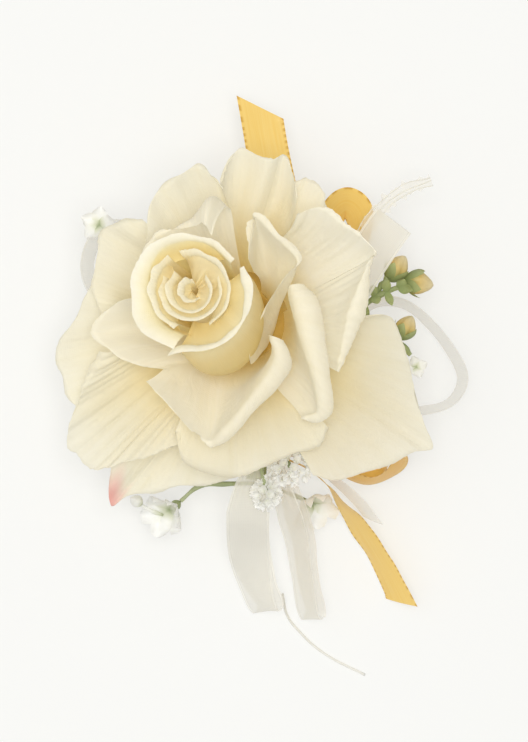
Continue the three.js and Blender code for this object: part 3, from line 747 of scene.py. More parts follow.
@dataclass(frozen=True)
class RuchedSatin:
    """Ivory satin tube gathered over flat elastic.

    The eye sees close pleats across the band, with a soft gloss on their crests; the colour paints shade
    into the troughs and a highlight onto the crests.
    """

    name: str = "ivory_satin_ruched_on_elastic"
    face: str = "#f3eddc"
    # painted shade: colour of the pleats' troughs; the face colour on their crests is painted highlight
    shade: str = "#ddd3b8"
    rib_mm: float = 0.4  # satin ribs are finer; drawn this coarse so that they show
    rib_long_mm: float = 9.0
    depth: float = 0.2
    bump_mm: float = 0.2

    def material(self) -> Material:
        """Colour by pleat height, as painted shade in the troughs and painted highlight on the crests; bump
        by ribs.

        Returns:
            The finished material.
        """
        material, tree, shader = start_material(self.name)
        reach = add(tree, "Attribute", {}, "Fac", attribute_name="reach")
        cloth = add(tree, "UVMap", {}, uv_map=CLOTH)
        drawn = add(tree, "Mapping", {"Vector": cloth, "Scale": (1 / self.rib_long_mm, 1 / self.rib_mm, 1)})
        ribs = add(tree, "TexNoise", {"Vector": drawn, "Scale": 1.0, "Detail": 2.0}, "Fac")
        colour = add(tree, "ValToRGB", {"Fac": reach}, stops=((0.0, self.shade), (1.0, self.face)))
        gloss = {"Roughness": 0.45, "Sheen Weight": 0.2}
        surface(tree, shader, colour, ribs, self.depth, self.bump_mm, gloss)
        return material


@dataclass(frozen=True)
class TinnedSteel:
    """Thin sheet steel, pressed and tinned.

    The eye sees a dull grey gloss with faint rolling lines.
    """

    name: str = "tinned_sheet_steel_pressed"
    face: str = "#c4c3be"
    worn: str = "#a5a49f"
    line_mm: float = 0.6
    line_long: float = 20.0
    rough: tuple[float, float] = (0.28, 0.48)

    def material(self) -> Material:
        """Colour and roughness by rolling lines along the plate.

        Returns:
            The finished material.
        """
        material, tree, shader = start_material(self.name)
        place = add(tree, "TexCoord", {}, "Object")
        fine = 1 / (self.line_mm * MM)
        drawn = add(tree, "Mapping", {"Vector": place, "Scale": (fine, fine / self.line_long, fine)})
        lines = add(tree, "TexNoise", {"Vector": drawn, "Scale": 1.0, "Detail": 3.0}, "Fac")
        colour = add(tree, "ValToRGB", {"Fac": lines}, stops=((0.35, self.worn), (0.65, self.face)))
        rough = add(tree, "MapRange", {"Value": lines, "To Min": self.rough[0], "To Max": self.rough[1]})
        tree.links.new(colour, shader.inputs["Base Color"])
        tree.links.new(rough, shader.inputs["Roughness"])
        shader.inputs["Metallic"].default_value = 1.0
        return material


@dataclass(frozen=True)
class PaleFloor:
    """Plain white studio floor that keeps a soft shadow."""

    name: str = "white_studio_floor_matte"
    colour: str = "#f4f4f1"
    lift: float = 0.55

    def material(self) -> Material:
        """A matte floor, part of which glows to the eye so that its shadow stays faint.

        Returns:
            The finished material.
        """
        material, tree, shader = start_material(self.name)
        shader.inputs["Base Color"].default_value = linear(self.colour)
        shader.inputs["Roughness"].default_value = 0.9
        glow = add(tree, "Emission", {"Color": linear(self.colour), "Strength": 1.0})
        ray = add(tree, "LightPath", {}).node.outputs
        both = {0: ray["Is Camera Ray"], 1: ray["Is Transmission Ray"]}
        direct = add(tree, "Math", both, operation="MAXIMUM")
        every = add(tree, "Math", {0: direct, 1: ray["Is Glossy Ray"]}, operation="MAXIMUM")
        share = add(tree, "Math", {0: every, 1: self.lift}, operation="MULTIPLY")
        show(tree, add(tree, "MixShader", {"Fac": share, 1: shader.outputs["BSDF"], 2: glow}))
        return material


class Finishes:
    """Every finish of the corsage, each made once."""

    def __init__(self) -> None:
        """Make the materials, with each colour's place from root to tip."""
        self.heart = SilkPetal(
            "cream_polyester_petal_heart",
            ((0.0, "#fbe8a6"), (0.5, "#fdeeba"), (0.85, "#fef5d2"), (1.0, "#fffbe8")),
        ).material()
        self.bud_cloth = SilkPetal(
            "cream_polyester_petal_bud",
            ((0.0, "#fbe8a0"), (0.45, "#feedac"), (0.7, "#fdedb4"), (0.88, "#fef6d2"), (1.0, "#fffcee")),
        ).material()
        self.inner = SilkPetal(
            "cream_polyester_petal_inner",
            ((0.0, "#f9e6a2"), (0.2, "#fdf4d4"), (0.35, "#fefaea"), (1.0, "#fcf8e8")),
        ).material()
        self.outer = SilkPetal(
            "cream_polyester_petal_outer",
            ((0.0, "#f6e39c"), (0.3, "#f5e6b8"), (0.6, "#f5edd2"), (1.0, "#f6f2e1")),
        ).material()
        self.gold = SatinRibbon().material()
        self.sheer = SheerOrganza().material()
        self.thread = MouldedPiece(
            "white_nylon_filament_drawn", ((0.0, "#f3f1e9"), (1.0, "#faf9f4")), 0.4, "#efede4",
        ).material()
        self.hub = MouldedPiece("ochre_polyethylene_moulded", ((0.0, "#d8b25c"), (1.0, "#e3c071"))).material()
        self.stem = MouldedPiece("green_floral_tape_wound", ((0.0, "#84945c"), (1.0, "#a5b07a"))).material()
        self.calyx = MouldedPiece(
            "green_polyethylene_moulded", ((0.0, "#93a264"), (1.0, "#b9c28a")), 0.35,
        ).material()
        self.stalk = MouldedPiece(
            "pale_green_coated_wire", ((0.0, "#a9b585"), (1.0, "#c6cea6")), 0.3,
        ).material()
        self.bud = MouldedPiece(
            "tinted_polyethylene_bud_moulded",
            ((0.0, "#a9ad66"), (0.35, "#d2c67e"), (0.55, "#f2d78c"), (1.0, "#f9edc4")), 0.35,
        ).material()
        self.floret = MouldedPiece(
            "white_polyester_floret_moulded",
            ((0.0, "#b4bf92"), (0.16, "#e9ebd8"), (0.4, "#fbfbf7"), (1.0, "#fffffe")), 0.45, "#f1f0e8",
        ).material()
        self.blossom = MouldedPiece(
            "white_polyester_blossom_moulded",
            ((0.0, "#f1f2e6"), (0.35, "#fcfcf9"), (1.0, "#fffffe")), 0.5, "#f4f3ec",
        ).material()
        self.band = RuchedSatin().material()
        self.steel = TinnedSteel().material()
        self.floor = PaleFloor().material()


def coat(piece: bpy.types.Object, material: Material) -> None:
    """Give an object one material and no other."""
    piece.data.materials.clear()
    piece.data.materials.append(material)


def dressed(
    name: str, patches: Sequence[Patch], material: Material, slot: Slot, body: Body | None, *nodes: str,
    closed: bool = False,
) -> bpy.types.Object:
    """Make a piece, give it its finish, let it stand for CAD nodes and set it on its body.

    Args:
        name: Name of the piece.
        patches: Grids that make it up.
        material: Its material.
        slot: The record's slot that it belongs to; not used.
        body: The body that it rides on, or None, which leaves it on no body.
        nodes: CAD nodes that it stands for.
        closed: Its patches are closed bodies.

    Returns:
        The finished object.
    """
    piece = mesh_object(name, patches, closed)
    coat(piece, material)
    if nodes:
        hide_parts(*nodes)
    if body is not None:
        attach(piece, body.value)
    LOG.info("%s: %d points", name, len(piece.data.vertices))
    return piece


# Rose


class Layer(Enum):
    """Where a petal sits in the rose, which sets its colours."""

    HEART = "heart"
    BUD = "bud"
    INNER = "inner"
    OUTER = "outer"


@dataclass(frozen=True)
class PetalShape:
    """One petal, drawn from its root on the hub to its rim.

    Attributes:
        layer: Place of its root down the hub.
        az: Compass angle of the root's middle.
        half: Half the angle that the root takes up.
        low: Lean of the petal at its root, in degrees from the rose's axis.
        high: Lean at its rim.
        rim: Rows of x, y on the plane, height above the rose's base, and length of rolled lip.
        curl: Turn of the rolled lip in degrees.
        fill: How far the root's direction carries, as a share of the span.
        swell: Degrees that the wall leans out and its rim back in, most near the petal's first side.
        kind: Part of the rose.
        veins: Depth of its pressed fan in millimetres.
        wave: Depth of its uneven lie in millimetres.
        tip: Column share and reach of a tinted tip, if it has one.
        tuck: Width of the cloth tucked inside its rim, in millimetres.
    """

    layer: float
    az: float
    half: float
    low: float
    high: float
    rim: tuple[tuple[float, float, float, float], ...]
    curl: float = 140.0
    fill: float = 0.4
    swell: float = 0.0
    kind: Layer = Layer.OUTER
    veins: float = 0.06
    wave: float = 0.5
    tip: float | None = None
    tuck: float = 0.0


BUD_AT = np.array([-11.5, 7.0])
WRAP_DROP = 2.5
WRAP_ROWS = 7
SWELL_PEAK = 12.2  # brings the swell's greatest value to one


def wrap(start: float, stop: float, r0: float, r1: float, h0: float, h1: float, lip: float) -> tuple:
    """Rim of a heart petal: an arc about the bud's own middle, lower towards both of its ends.

    Args:
        start: Compass angle where it starts.
        stop: Compass angle where it stops.
        r0: Radius at its start.
        r1: Radius at its stop.
        h0: Height at its start.
        h1: Height at its stop.
        lip: Length of its rolled lip.

    Returns:
        Rows for a petal's rim.
    """
    s = np.linspace(0, 1, WRAP_ROWS)
    turn = np.radians(start + (stop - start) * s)
    radius = r0 + (r1 - r0) * s
    high = h0 + (h1 - h0) * s - WRAP_DROP * (2 * s - 1) ** 4
    x, y = BUD_AT[0] + radius * np.cos(turn), BUD_AT[1] + radius * np.sin(turn)
    return tuple(map(tuple, np.stack([x, y, high, np.full(WRAP_ROWS, lip)], 1)))


HEART, BUD, INNER = Layer.HEART, Layer.BUD, Layer.INNER
PETALS: dict[str, PetalShape] = {
    "heart_petal_1": PetalShape(
        0, 200, 120, 3, 0, wrap(60, 330, 1.7, 2.1, 40, 40, 1.9),
        curl=65, kind=HEART, wave=0.1, tuck=2.1,
    ),
    "heart_petal_2": PetalShape(
        1, 265, 120, 3, 2, wrap(130, 400, 4.5, 3.9, 39, 40.5, 1.9),
        curl=65, kind=HEART, wave=0.12, tuck=2.6,
    ),
    "heart_petal_3": PetalShape(
        2, 268, 90, 4, 4, wrap(152, 385, 5.9, 6.1, 38.5, 40, 1.9),
        curl=65, kind=HEART, wave=0.12, tuck=2.2,
    ),
    "heart_petal_4": PetalShape(
        2.8, 20, 65, 5, 5, wrap(-60, 105, 7.9, 7.9, 39, 39.5, 1.9),
        curl=65, kind=HEART, wave=0.12, tuck=6.2,
    ),
    "heart_petal_5": PetalShape(
        3.6, 187, 65, 6, 5, wrap(122, 250, 8.2, 8.2, 38.5, 38.5, 1.9),
        curl=65, kind=HEART, wave=0.12, tuck=2.8,
    ),
    "bud_petal_left": PetalShape(
        4.4, 165, 95, 14, 14,
        ((-2.5, 13.5, 37, 0.8), (-6.5, 17, 38, 1.4), (-12, 18, 38, 2), (-18, 16, 37.5, 3),
         (-21, 10.5, 36, 4), (-20.5, 5, 35, 5), (-18, -0.5, 33, 5.6), (-13, -3, 32, 5)),
        curl=84, kind=BUD, tuck=3.4,
    ),
    "bud_petal_right": PetalShape(
        5.2, -45, 75, 12, -4,
        ((-14.8, -5.6, 30.5, 4), (-8.4, -6, 33, 4.6), (-3.2, -2.6, 35.5, 4.2), (-0.2, 2.6, 37.5, 3.2),
         (0.8, 7.6, 39, 2.2), (-0.5, 12, 39, 1.2)),
        curl=112, fill=0.5, swell=36, kind=BUD, tuck=6.6,
    ),
    "inner_petal_upper": PetalShape(
        6.2, 125, 52, 18, 30,
        ((-2.5, 24, 28, -15), (-6, 26.4, 30, -13), (-12, 22.5, 31.5, -4), (-17.5, 20, 31, 1),
         (-21, 17, 30, 1), (-22.5, 11, 27, 1), (-23, 7, 25, 0.5)),
        curl=130, kind=INNER,
    ),
    "inner_petal_right": PetalShape(
        7.1, 8, 42, 25, 15,
        ((1.6, -9.5, 21.5, 0.5), (1.6, -4, 23.5, 0.5), (4, 1.5, 25, 0.5), (7, 7, 26, 0.5),
         (9.5, 10.5, 26, 1), (12, 13.5, 25, 1.8), (7, 20, 28, 0.6), (2, 24.5, 29, 0.5),
         (0.9, 19, 28, 0.5), (0.9, 14, 27, 0.5)),
        kind=INNER,
    ),
    "inner_petal_left": PetalShape(
        7.1, 200, 42, 35, 60,
        ((-23, 5.5, 20, 0.5), (-27, 4.5, 19, 1), (-33, -2, 15, 1), (-29, -6.5, 17, 0.6),
         (-23, -9.5, 18.5, 0.5), (-17, -10.5, 17, 0.5)),
        curl=60, kind=INNER,
    ),
    "inner_petal_front": PetalShape(
        8.2, 268, 58, 45, 35,
        ((-21.5, -13, 19, 0.5), (-15.5, -19.5, 20, 0.5), (-8, -27, 18, 0.5), (-4, -23, 21, 6),
         (1.5, -15.5, 25, 8.5), (6.5, -7.5, 28, 8.5), (6.5, -3, 28, 4)),
        curl=190, kind=INNER,
    ),
    "inner_petal_scroll": PetalShape(
        9.2, -25, 38, 45, 20,
        ((13, -21.5, 14, 0.5), (16.6, -20.3, 17, 2.5), (16.6, -15.5, 19, 6), (13.4, -5, 22.6, 8),
         (11.2, 4, 24.4, 7.5), (10, 8, 24.4, 5)),
        curl=150, kind=INNER,
    ),
    "outer_petal_top_left": PetalShape(
        9.2, 118, 38, 50, 45,
        ((-4.5, 29.5, 18, 1), (-7, 32.5, 19, 1), (-10.5, 34.5, 20, 1), (-16, 31, 21, 1),
         (-20, 27.5, 21, 1), (-21.5, 18.5, 21, 1), (-22, 12, 20, 1)),
    ),
    "outer_petal_right": PetalShape(
        10.2, 20, 45, 50, 35,
        ((21, -11, 16, 0.5), (22, -4, 20, 4), (24.5, 5, 23, 4.5), (28, 14, 24, 2), (29.5, 15.5, 24, 0.5),
         (26.5, 19, 24, 0.5), (23, 21.5, 24, 0.5), (17.5, 25.5, 23, 0.5), (12, 24, 22, 0.5)),
        curl=160, veins=0.32, kind=INNER,
    ),
    "outer_petal_front": PetalShape(
        10.2, 272, 42, 62, 80,
        ((-15, -24.5, 12, 1.4), (-14.5, -27.5, 12, 2.5), (-12, -30.5, 11, 2.5), (-4, -33, 9, 1.5),
         (-0.5, -33.5, 8, 0.5), (8.5, -30, 9, 1), (17, -26.5, 9, 1), (18.5, -23, 8.5, 1)),
        curl=110,
    ),
    "outer_petal_front_left": PetalShape(
        11.2, 217, 34, 68, 88,
        ((-30.5, -6.5, 10, 1), (-35, -14, 8, 1), (-38, -21, 5, 1), (-39, -27.5, 2, 1),
         (-36.5, -30, 2, 1), (-33, -32.5, 2, 1), (-24.5, -30.5, 5, 1), (-13, -27, 8, 1)),
        curl=40, veins=0.5,
    ),
    "outer_petal_top": PetalShape(
        11.2, 85, 32, 60, 60,
        ((12, 27.5, 14, 0.6), (11, 33, 14, 0.6), (9, 37, 13, 0.6), (5.5, 36, 15, 0.6),
         (-0.5, 38.5, 14, 0.6), (-3.5, 35.5, 15, 0.6), (-5, 31, 16, 0.6)),
        wave=0.7,
    ),
    "outer_petal_front_right": PetalShape(
        12.2, -30, 42, 75, 92,
        ((15.5, -34, 2, 0.8), (21.5, -35, 1, 0.8), (31, -31.5, 0, 0.8), (37.5, -28.5, -1, 0.8),
         (42, -28, -2, 0.8), (40.5, -23, 0, 0.8), (36.5, -8.5, 4, 0.8), (32.5, 1, 7, 0.8),
         (24.5, 1, 10, 0.8)),
        curl=40, wave=0.35,
    ),
    "outer_petal_left_back": PetalShape(
        12.2, 152, 34, 66, 75,
        ((-22, 22.5, 12, 1.5), (-26.5, 21.5, 12, 1.5), (-31, 20, 11, 1.5), (-32.5, 15, 11, 1.5),
         (-33, 7, 11, 1.5), (-31, 1.5, 12, 1.5)),
        curl=90,
    ),
    "outer_petal_left": PetalShape(
        13.2, 187, 32, 74, 90,
        ((-34, 8.5, 7, 0.8), (-37.5, 1, 5, 0.8), (-41.5, -6.5, 2, 0.8), (-40, -12.5, 1, 0.8),
         (-38, -18, 0, 0.8), (-32, -22, 1, 0.8)),
        curl=60, wave=0.35,
    ),
    "outer_petal_top_right": PetalShape(
        13.2, 62, 24, 74, 80,
        ((18.5, 24, 10, 0.5), (17.5, 29.5, 10, 0.5), (14, 31.5, 10, 0.5), (11, 31, 10, 0.5)),
    ),
    "outer_petal_tinted": PetalShape(
        13.6, 246, 24, 80, 95,
        ((-29, -31.5, -1, 0.5), (-29.5, -41, -5, 0.5), (-25.5, -38.5, -4, 0.5), (-17.5, -37, -3, 0.5),
         (-5, -35.5, -2, 0.5), (-2, -35, -2, 0.5)),
        tip=0.2,
    ),
}


@dataclass
class Rose:
    """The silk rose: petals glued round a hub, with a calyx below.

    Attributes:
        finishes: The corsage's materials.
        at: Foot of the rose's axis.
        lean: Shift of the axis for each millimetre up.
        heart_radius: Radius of the innermost ring of roots.
        heart_base: Its height.
        layer_out: Growth of that radius from layer to layer.
        layer_down: Fall of that height from layer to layer.
        arrive: How far the rim's direction carries back, as a share of the span.
        nick: Depth of the fine nicks in a cut edge.
        scallop: Depth of its slow scallops.
        lip_round: Least radius of a rolled lip.
        lip_least: Least length of a lip.
        tuck_fall: Fall of a tucked face for each millimetre of its width.
        tuck_most: Its greatest fall.
        tuck_side: Share of the rim over which it narrows at each side.
        tuck_under: Share of its width that laps out under the rim.
        tuck_reach: Place of its upper edge in the petal's colours.
        tuck_shade: How far its lower edge goes back in them, which paints shade where it falls into the gap.
        tuck_wave: Unevenness of its fall.
        tuck_rows: Points across it.
        rows: Points from root to rim.
        lip_rows: Points round a lip.
        cols: Points along the rim.
        hub_below: Depth of the hub under the rose's foot.
        calyx_deep: Depth of the calyx.
        calyx_wide: Its width.
        calyx_sides: Points round it.
    """

    finishes: Finishes
    at: tuple[float, float, float] = (0.0, -0.5, ROSE_Z)
    lean: tuple[float, float, float] = (-0.255, 0.172, 1.0)
    heart_radius: float = 2.5
    heart_base: float = 12.0
    layer_out: float = 0.85
    layer_down: float = 0.9
    arrive: float = 0.35
    nick: float = 0.12
    scallop: float = 0.22
    lip_round: float = 0.5
    lip_least: float = 0.4
    tuck_fall: float = 0.9
    tuck_most: float = 3.4
    tuck_side: float = 0.14
    tuck_under: float = 0.08
    tuck_reach: float = 0.9
    tuck_shade: float = 0.35
    tuck_wave: float = 0.1
    tuck_rows: int = 14
    rows: int = 44
    lip_rows: int = 16
    cols: int = 110
    hub_below: float = 2.2
    calyx_deep: float = 4.0
    calyx_wide: float = 17.0
    calyx_sides: int = 100

    def petal(self, shape: PetalShape, seed: int) -> Patch:
        """One petal's surface.

        Each column is a cubic curve from the root ring to the rim, leaving at the low lean and arriving at
        the high one, then a lip that turns steadily through the curl, less where it is short. The surface is
        then moved along its normal by a fan of veins that grows towards the rim, by a slow unevenness and by
        a flutter along the edge.

        Args:
            shape: The petal's sizes.
            seed: Seed of its unevenness.

        Returns:
            The open patch.
        """
        rim = curve_through(shape.rim, self.cols)
        u = np.linspace(0, 1, self.cols)
        edge = np.abs(ripple(u, 0 * u, seed, 60, 0, 14)) * self.nick
        edge = edge + ripple(u, 0 * u, seed + 1, 7, 0, 6) * self.scallop
        foot, lean = np.array(self.at), np.array(self.lean)
        up = unit(lean)
        turn = np.radians(shape.az + shape.half * (2 * u - 1))
        around = np.stack([np.cos(turn), np.sin(turn), 0 * turn], axis=-1)
        root = foot + around * (self.heart_radius + self.layer_out * shape.layer)
        root = root + lean * (self.heart_base - self.layer_down * shape.layer)
        stop = seen(rim[:, 0], rim[:, 1], ROSE_Z + rim[:, 2])
        out = stop - (foot + lean * rim[:, 2:3])
        out[:, 2] = 0
        out = unit(out)

        def toward(deg: Grid | float, flat: Grid) -> Grid:
            """Direction at an angle from the rose's axis towards flat."""
            bend = np.radians(np.asarray(deg, float))[..., None]
            return flat * np.sin(bend) + up * np.cos(bend)

        span = np.linalg.norm(stop - root, axis=-1, keepdims=True)
        swollen = shape.swell * SWELL_PEAK * u * (1 - u) ** 4
        rim_lean = shape.high - swollen
        first = root + toward(shape.low + swollen, around) * shape.fill * span
        second = stop - toward(rim_lean, out) * self.arrive * span
        t = np.linspace(0, 1, self.rows)[:, None, None]
        body = (1 - t) ** 3 * root + 3 * (1 - t) ** 2 * t * first + 3 * (1 - t) * t**2 * second + t**3 * stop
        lip = np.sign(rim[:, 3]) * np.maximum(np.abs(rim[:, 3]) + edge, self.lip_least)
        step = (np.arange(self.lip_rows) + 0.5) / self.lip_rows
        roll = np.minimum(shape.curl, np.degrees(np.abs(lip) / self.lip_round))
        bends = rim_lean[None] + np.sign(lip)[None] * roll * step[:, None]
        moves = toward(bends, out[None]) * (np.abs(lip) / self.lip_rows)[None, :, None]
        points = np.concatenate([body, stop + np.cumsum(moves, axis=0)])
        along = run_length(points)
        v = along / along[-1]
        uu = np.broadcast_to(u, v.shape)
        fan = np.abs(ripple(uu, 0.15 * v, seed + 2, 14, 1, 8)) - 0.6
        slow = ripple(uu, v, seed + 3, 1.6, 1.3, 6)
        flutter = ripple(uu, v, seed + 4, 5, 0.6, 6) * smooth(v, 0.6, 1.0)
        lie = slow * smooth(v, 0.2, 0.7) + 0.6 * flutter
        push = shape.veins * fan * smooth(v, 0.15, 0.7) + shape.wave * lie
        points = points + normals(points) * push[..., None]
        wide = run_length(points.swapaxes(0, 1))[-1].max()
        uv = np.stack([uu * wide, along], axis=-1)
        tint = None
        if shape.tip is not None:
            tint = smooth(v, 0.8, 1.0) * (1 - smooth(np.abs(uu - shape.tip), 0.02, 0.2))
        return Patch(points, uv=uv, reach=v, tint=tint)

    def tucked(self, shape: PetalShape) -> Patch:
        """Inner face of a folded petal, which slopes from its rim to the next petal in.

        A strip runs from the rim towards the bud's middle and falls as it goes; it narrows to nothing at both
        sides. Its colour goes back towards the petal's golden root as it falls: painted shade in the gap.

        Args:
            shape: The petal's sizes.

        Returns:
            The open patch.
        """
        rim = curve_through(shape.rim, self.cols)
        u = np.linspace(0, 1, self.cols)[:, None]
        stop = seen(rim[:, 0], rim[:, 1], ROSE_Z + rim[:, 2])
        still = 0 * rim[:, 0]
        inward = seen(still + BUD_AT[0], still + BUD_AT[1], ROSE_Z + rim[:, 2]) - stop
        share = np.minimum(shape.tuck / np.linalg.norm(inward, axis=-1, keepdims=True), 1)
        share = share * smooth(u, 0, self.tuck_side) * (1 - smooth(u, 1 - self.tuck_side, 1))
        s = np.linspace(0, 1, self.tuck_rows)[:, None, None]
        points = stop + inward * share * ((1 + self.tuck_under) * s - self.tuck_under)
        fall = min(self.tuck_most, self.tuck_fall * shape.tuck) * (1 - (1 - s) ** 2)
        points[..., 2] -= fall[..., 0] * (1 + self.tuck_wave * ripple(u.T, s[..., 0], 97, 6, 0.5, 5))
        # painted shade: the reach falls towards the lower edge, so the strip turns golden down in the gap
        return Patch(points, reach=(self.tuck_reach - self.tuck_shade * s + 0 * u)[..., 0])

    def ring(self, radius: Grid, high: Grid, turn: Grid, lobes: Grid) -> Grid:
        """Points of a leaning body of revolution with five lobes.

        Args:
            radius: Mean radius at each point.
            high: Height along the rose's axis.
            turn: Compass angle in radians.
            lobes: Depth of the lobes, as a share of the radius.

        Returns:
            True points, with a last axis of three.
        """
        wide = radius * (1 + lobes * np.cos(5 * turn))
        base = np.array(self.at) + np.array(self.lean) * high[..., None]
        return base + np.stack([wide * np.cos(turn), wide * np.sin(turn), 0 * wide], axis=-1)

    def calyx(self) -> Patch:
        """A cup whose rim parts into five sepals.

        Its radius grows evenly and its lobes with the square of the way up; an inner wall follows inside.

        Returns:
            The closed patch.
        """
        s = np.linspace(0, 1, 26)[:, None]
        turn = np.linspace(0, 2 * np.pi, self.calyx_sides, endpoint=False)[None, :] + 0 * s
        top = -self.hub_below - GAP
        radius = self.calyx_wide * (0.18 + 0.32 * s) + 0 * turn
        lobes = 0.35 * s**2
        outer = self.ring(radius, top - self.calyx_deep * (1 - s) + 0 * turn, turn, lobes)
        inside = top - 0.1 - (self.calyx_deep - 0.5) * s + 0 * turn
        inner = self.ring(radius[::-1] * 0.93, inside, turn, lobes[::-1])
        low = np.repeat(outer[:1].mean(axis=1, keepdims=True), self.calyx_sides, 1)
        high = np.repeat(inner[-1:].mean(axis=1, keepdims=True), self.calyx_sides, 1)
        points = np.concatenate([low, outer, inner, high])
        reach = np.concatenate([[[0.0]], s, s[::-1], [[0.0]]])
        return Patch(points, reach=np.repeat(reach, self.calyx_sides, 1), loop_cols=True)

    def build(self) -> None:
        """Build and dress every petal, the calyx and the hub."""
        look = self.finishes
        cloth = {HEART: look.heart, BUD: look.bud_cloth, INNER: look.inner, Layer.OUTER: look.outer}
        for number, (name, shape) in enumerate(PETALS.items()):
            patch = self.petal(shape, 31 * number + 5)
            cut = [patch, self.tucked(shape)] if shape.tuck else [patch]
            piece = dressed(f"silk_{name}", cut, cloth[shape.kind], Slot.SILK, Body.CORSAGE, name)
            wide = float(run_length(patch.points.swapaxes(0, 1))[-1].max()) * MM
            long = float(run_length(patch.points)[-1].max()) * MM
            area = sum(part.area() for part in cut) * MM * MM
            area = min(max(area, SHARE_LEAST * wide * long), wide * long)
        cup = [self.calyx()]
        dressed("moulded_calyx", cup, look.calyx, Slot.STEM, Body.CORSAGE, "rose_calyx", closed=True)
        coat(bpy.data.objects["rose_hub"], look.hub)


# Ribbons

PINCH = 0.36


@dataclass(frozen=True)
class RibbonRun:
    """One length of ribbon.

    Attributes:
        rows: x and y on the plane, share of the stems' height, and compass angle and rise of the width line.
        slot: Its ribbon.
        body: The body that it rides on.
        pinch: Share of the width left at each end.
        slant: Slant of the cut end in millimetres.
        cup: Bow of the cross section in millimetres.
    """

    rows: tuple[tuple[float, float, float, float, float], ...]
    slot: Slot
    body: Body = Body.CORSAGE
    pinch: tuple[float, float] = (PINCH, 1.0)
    slant: float = 0.0
    cup: float = 0.25


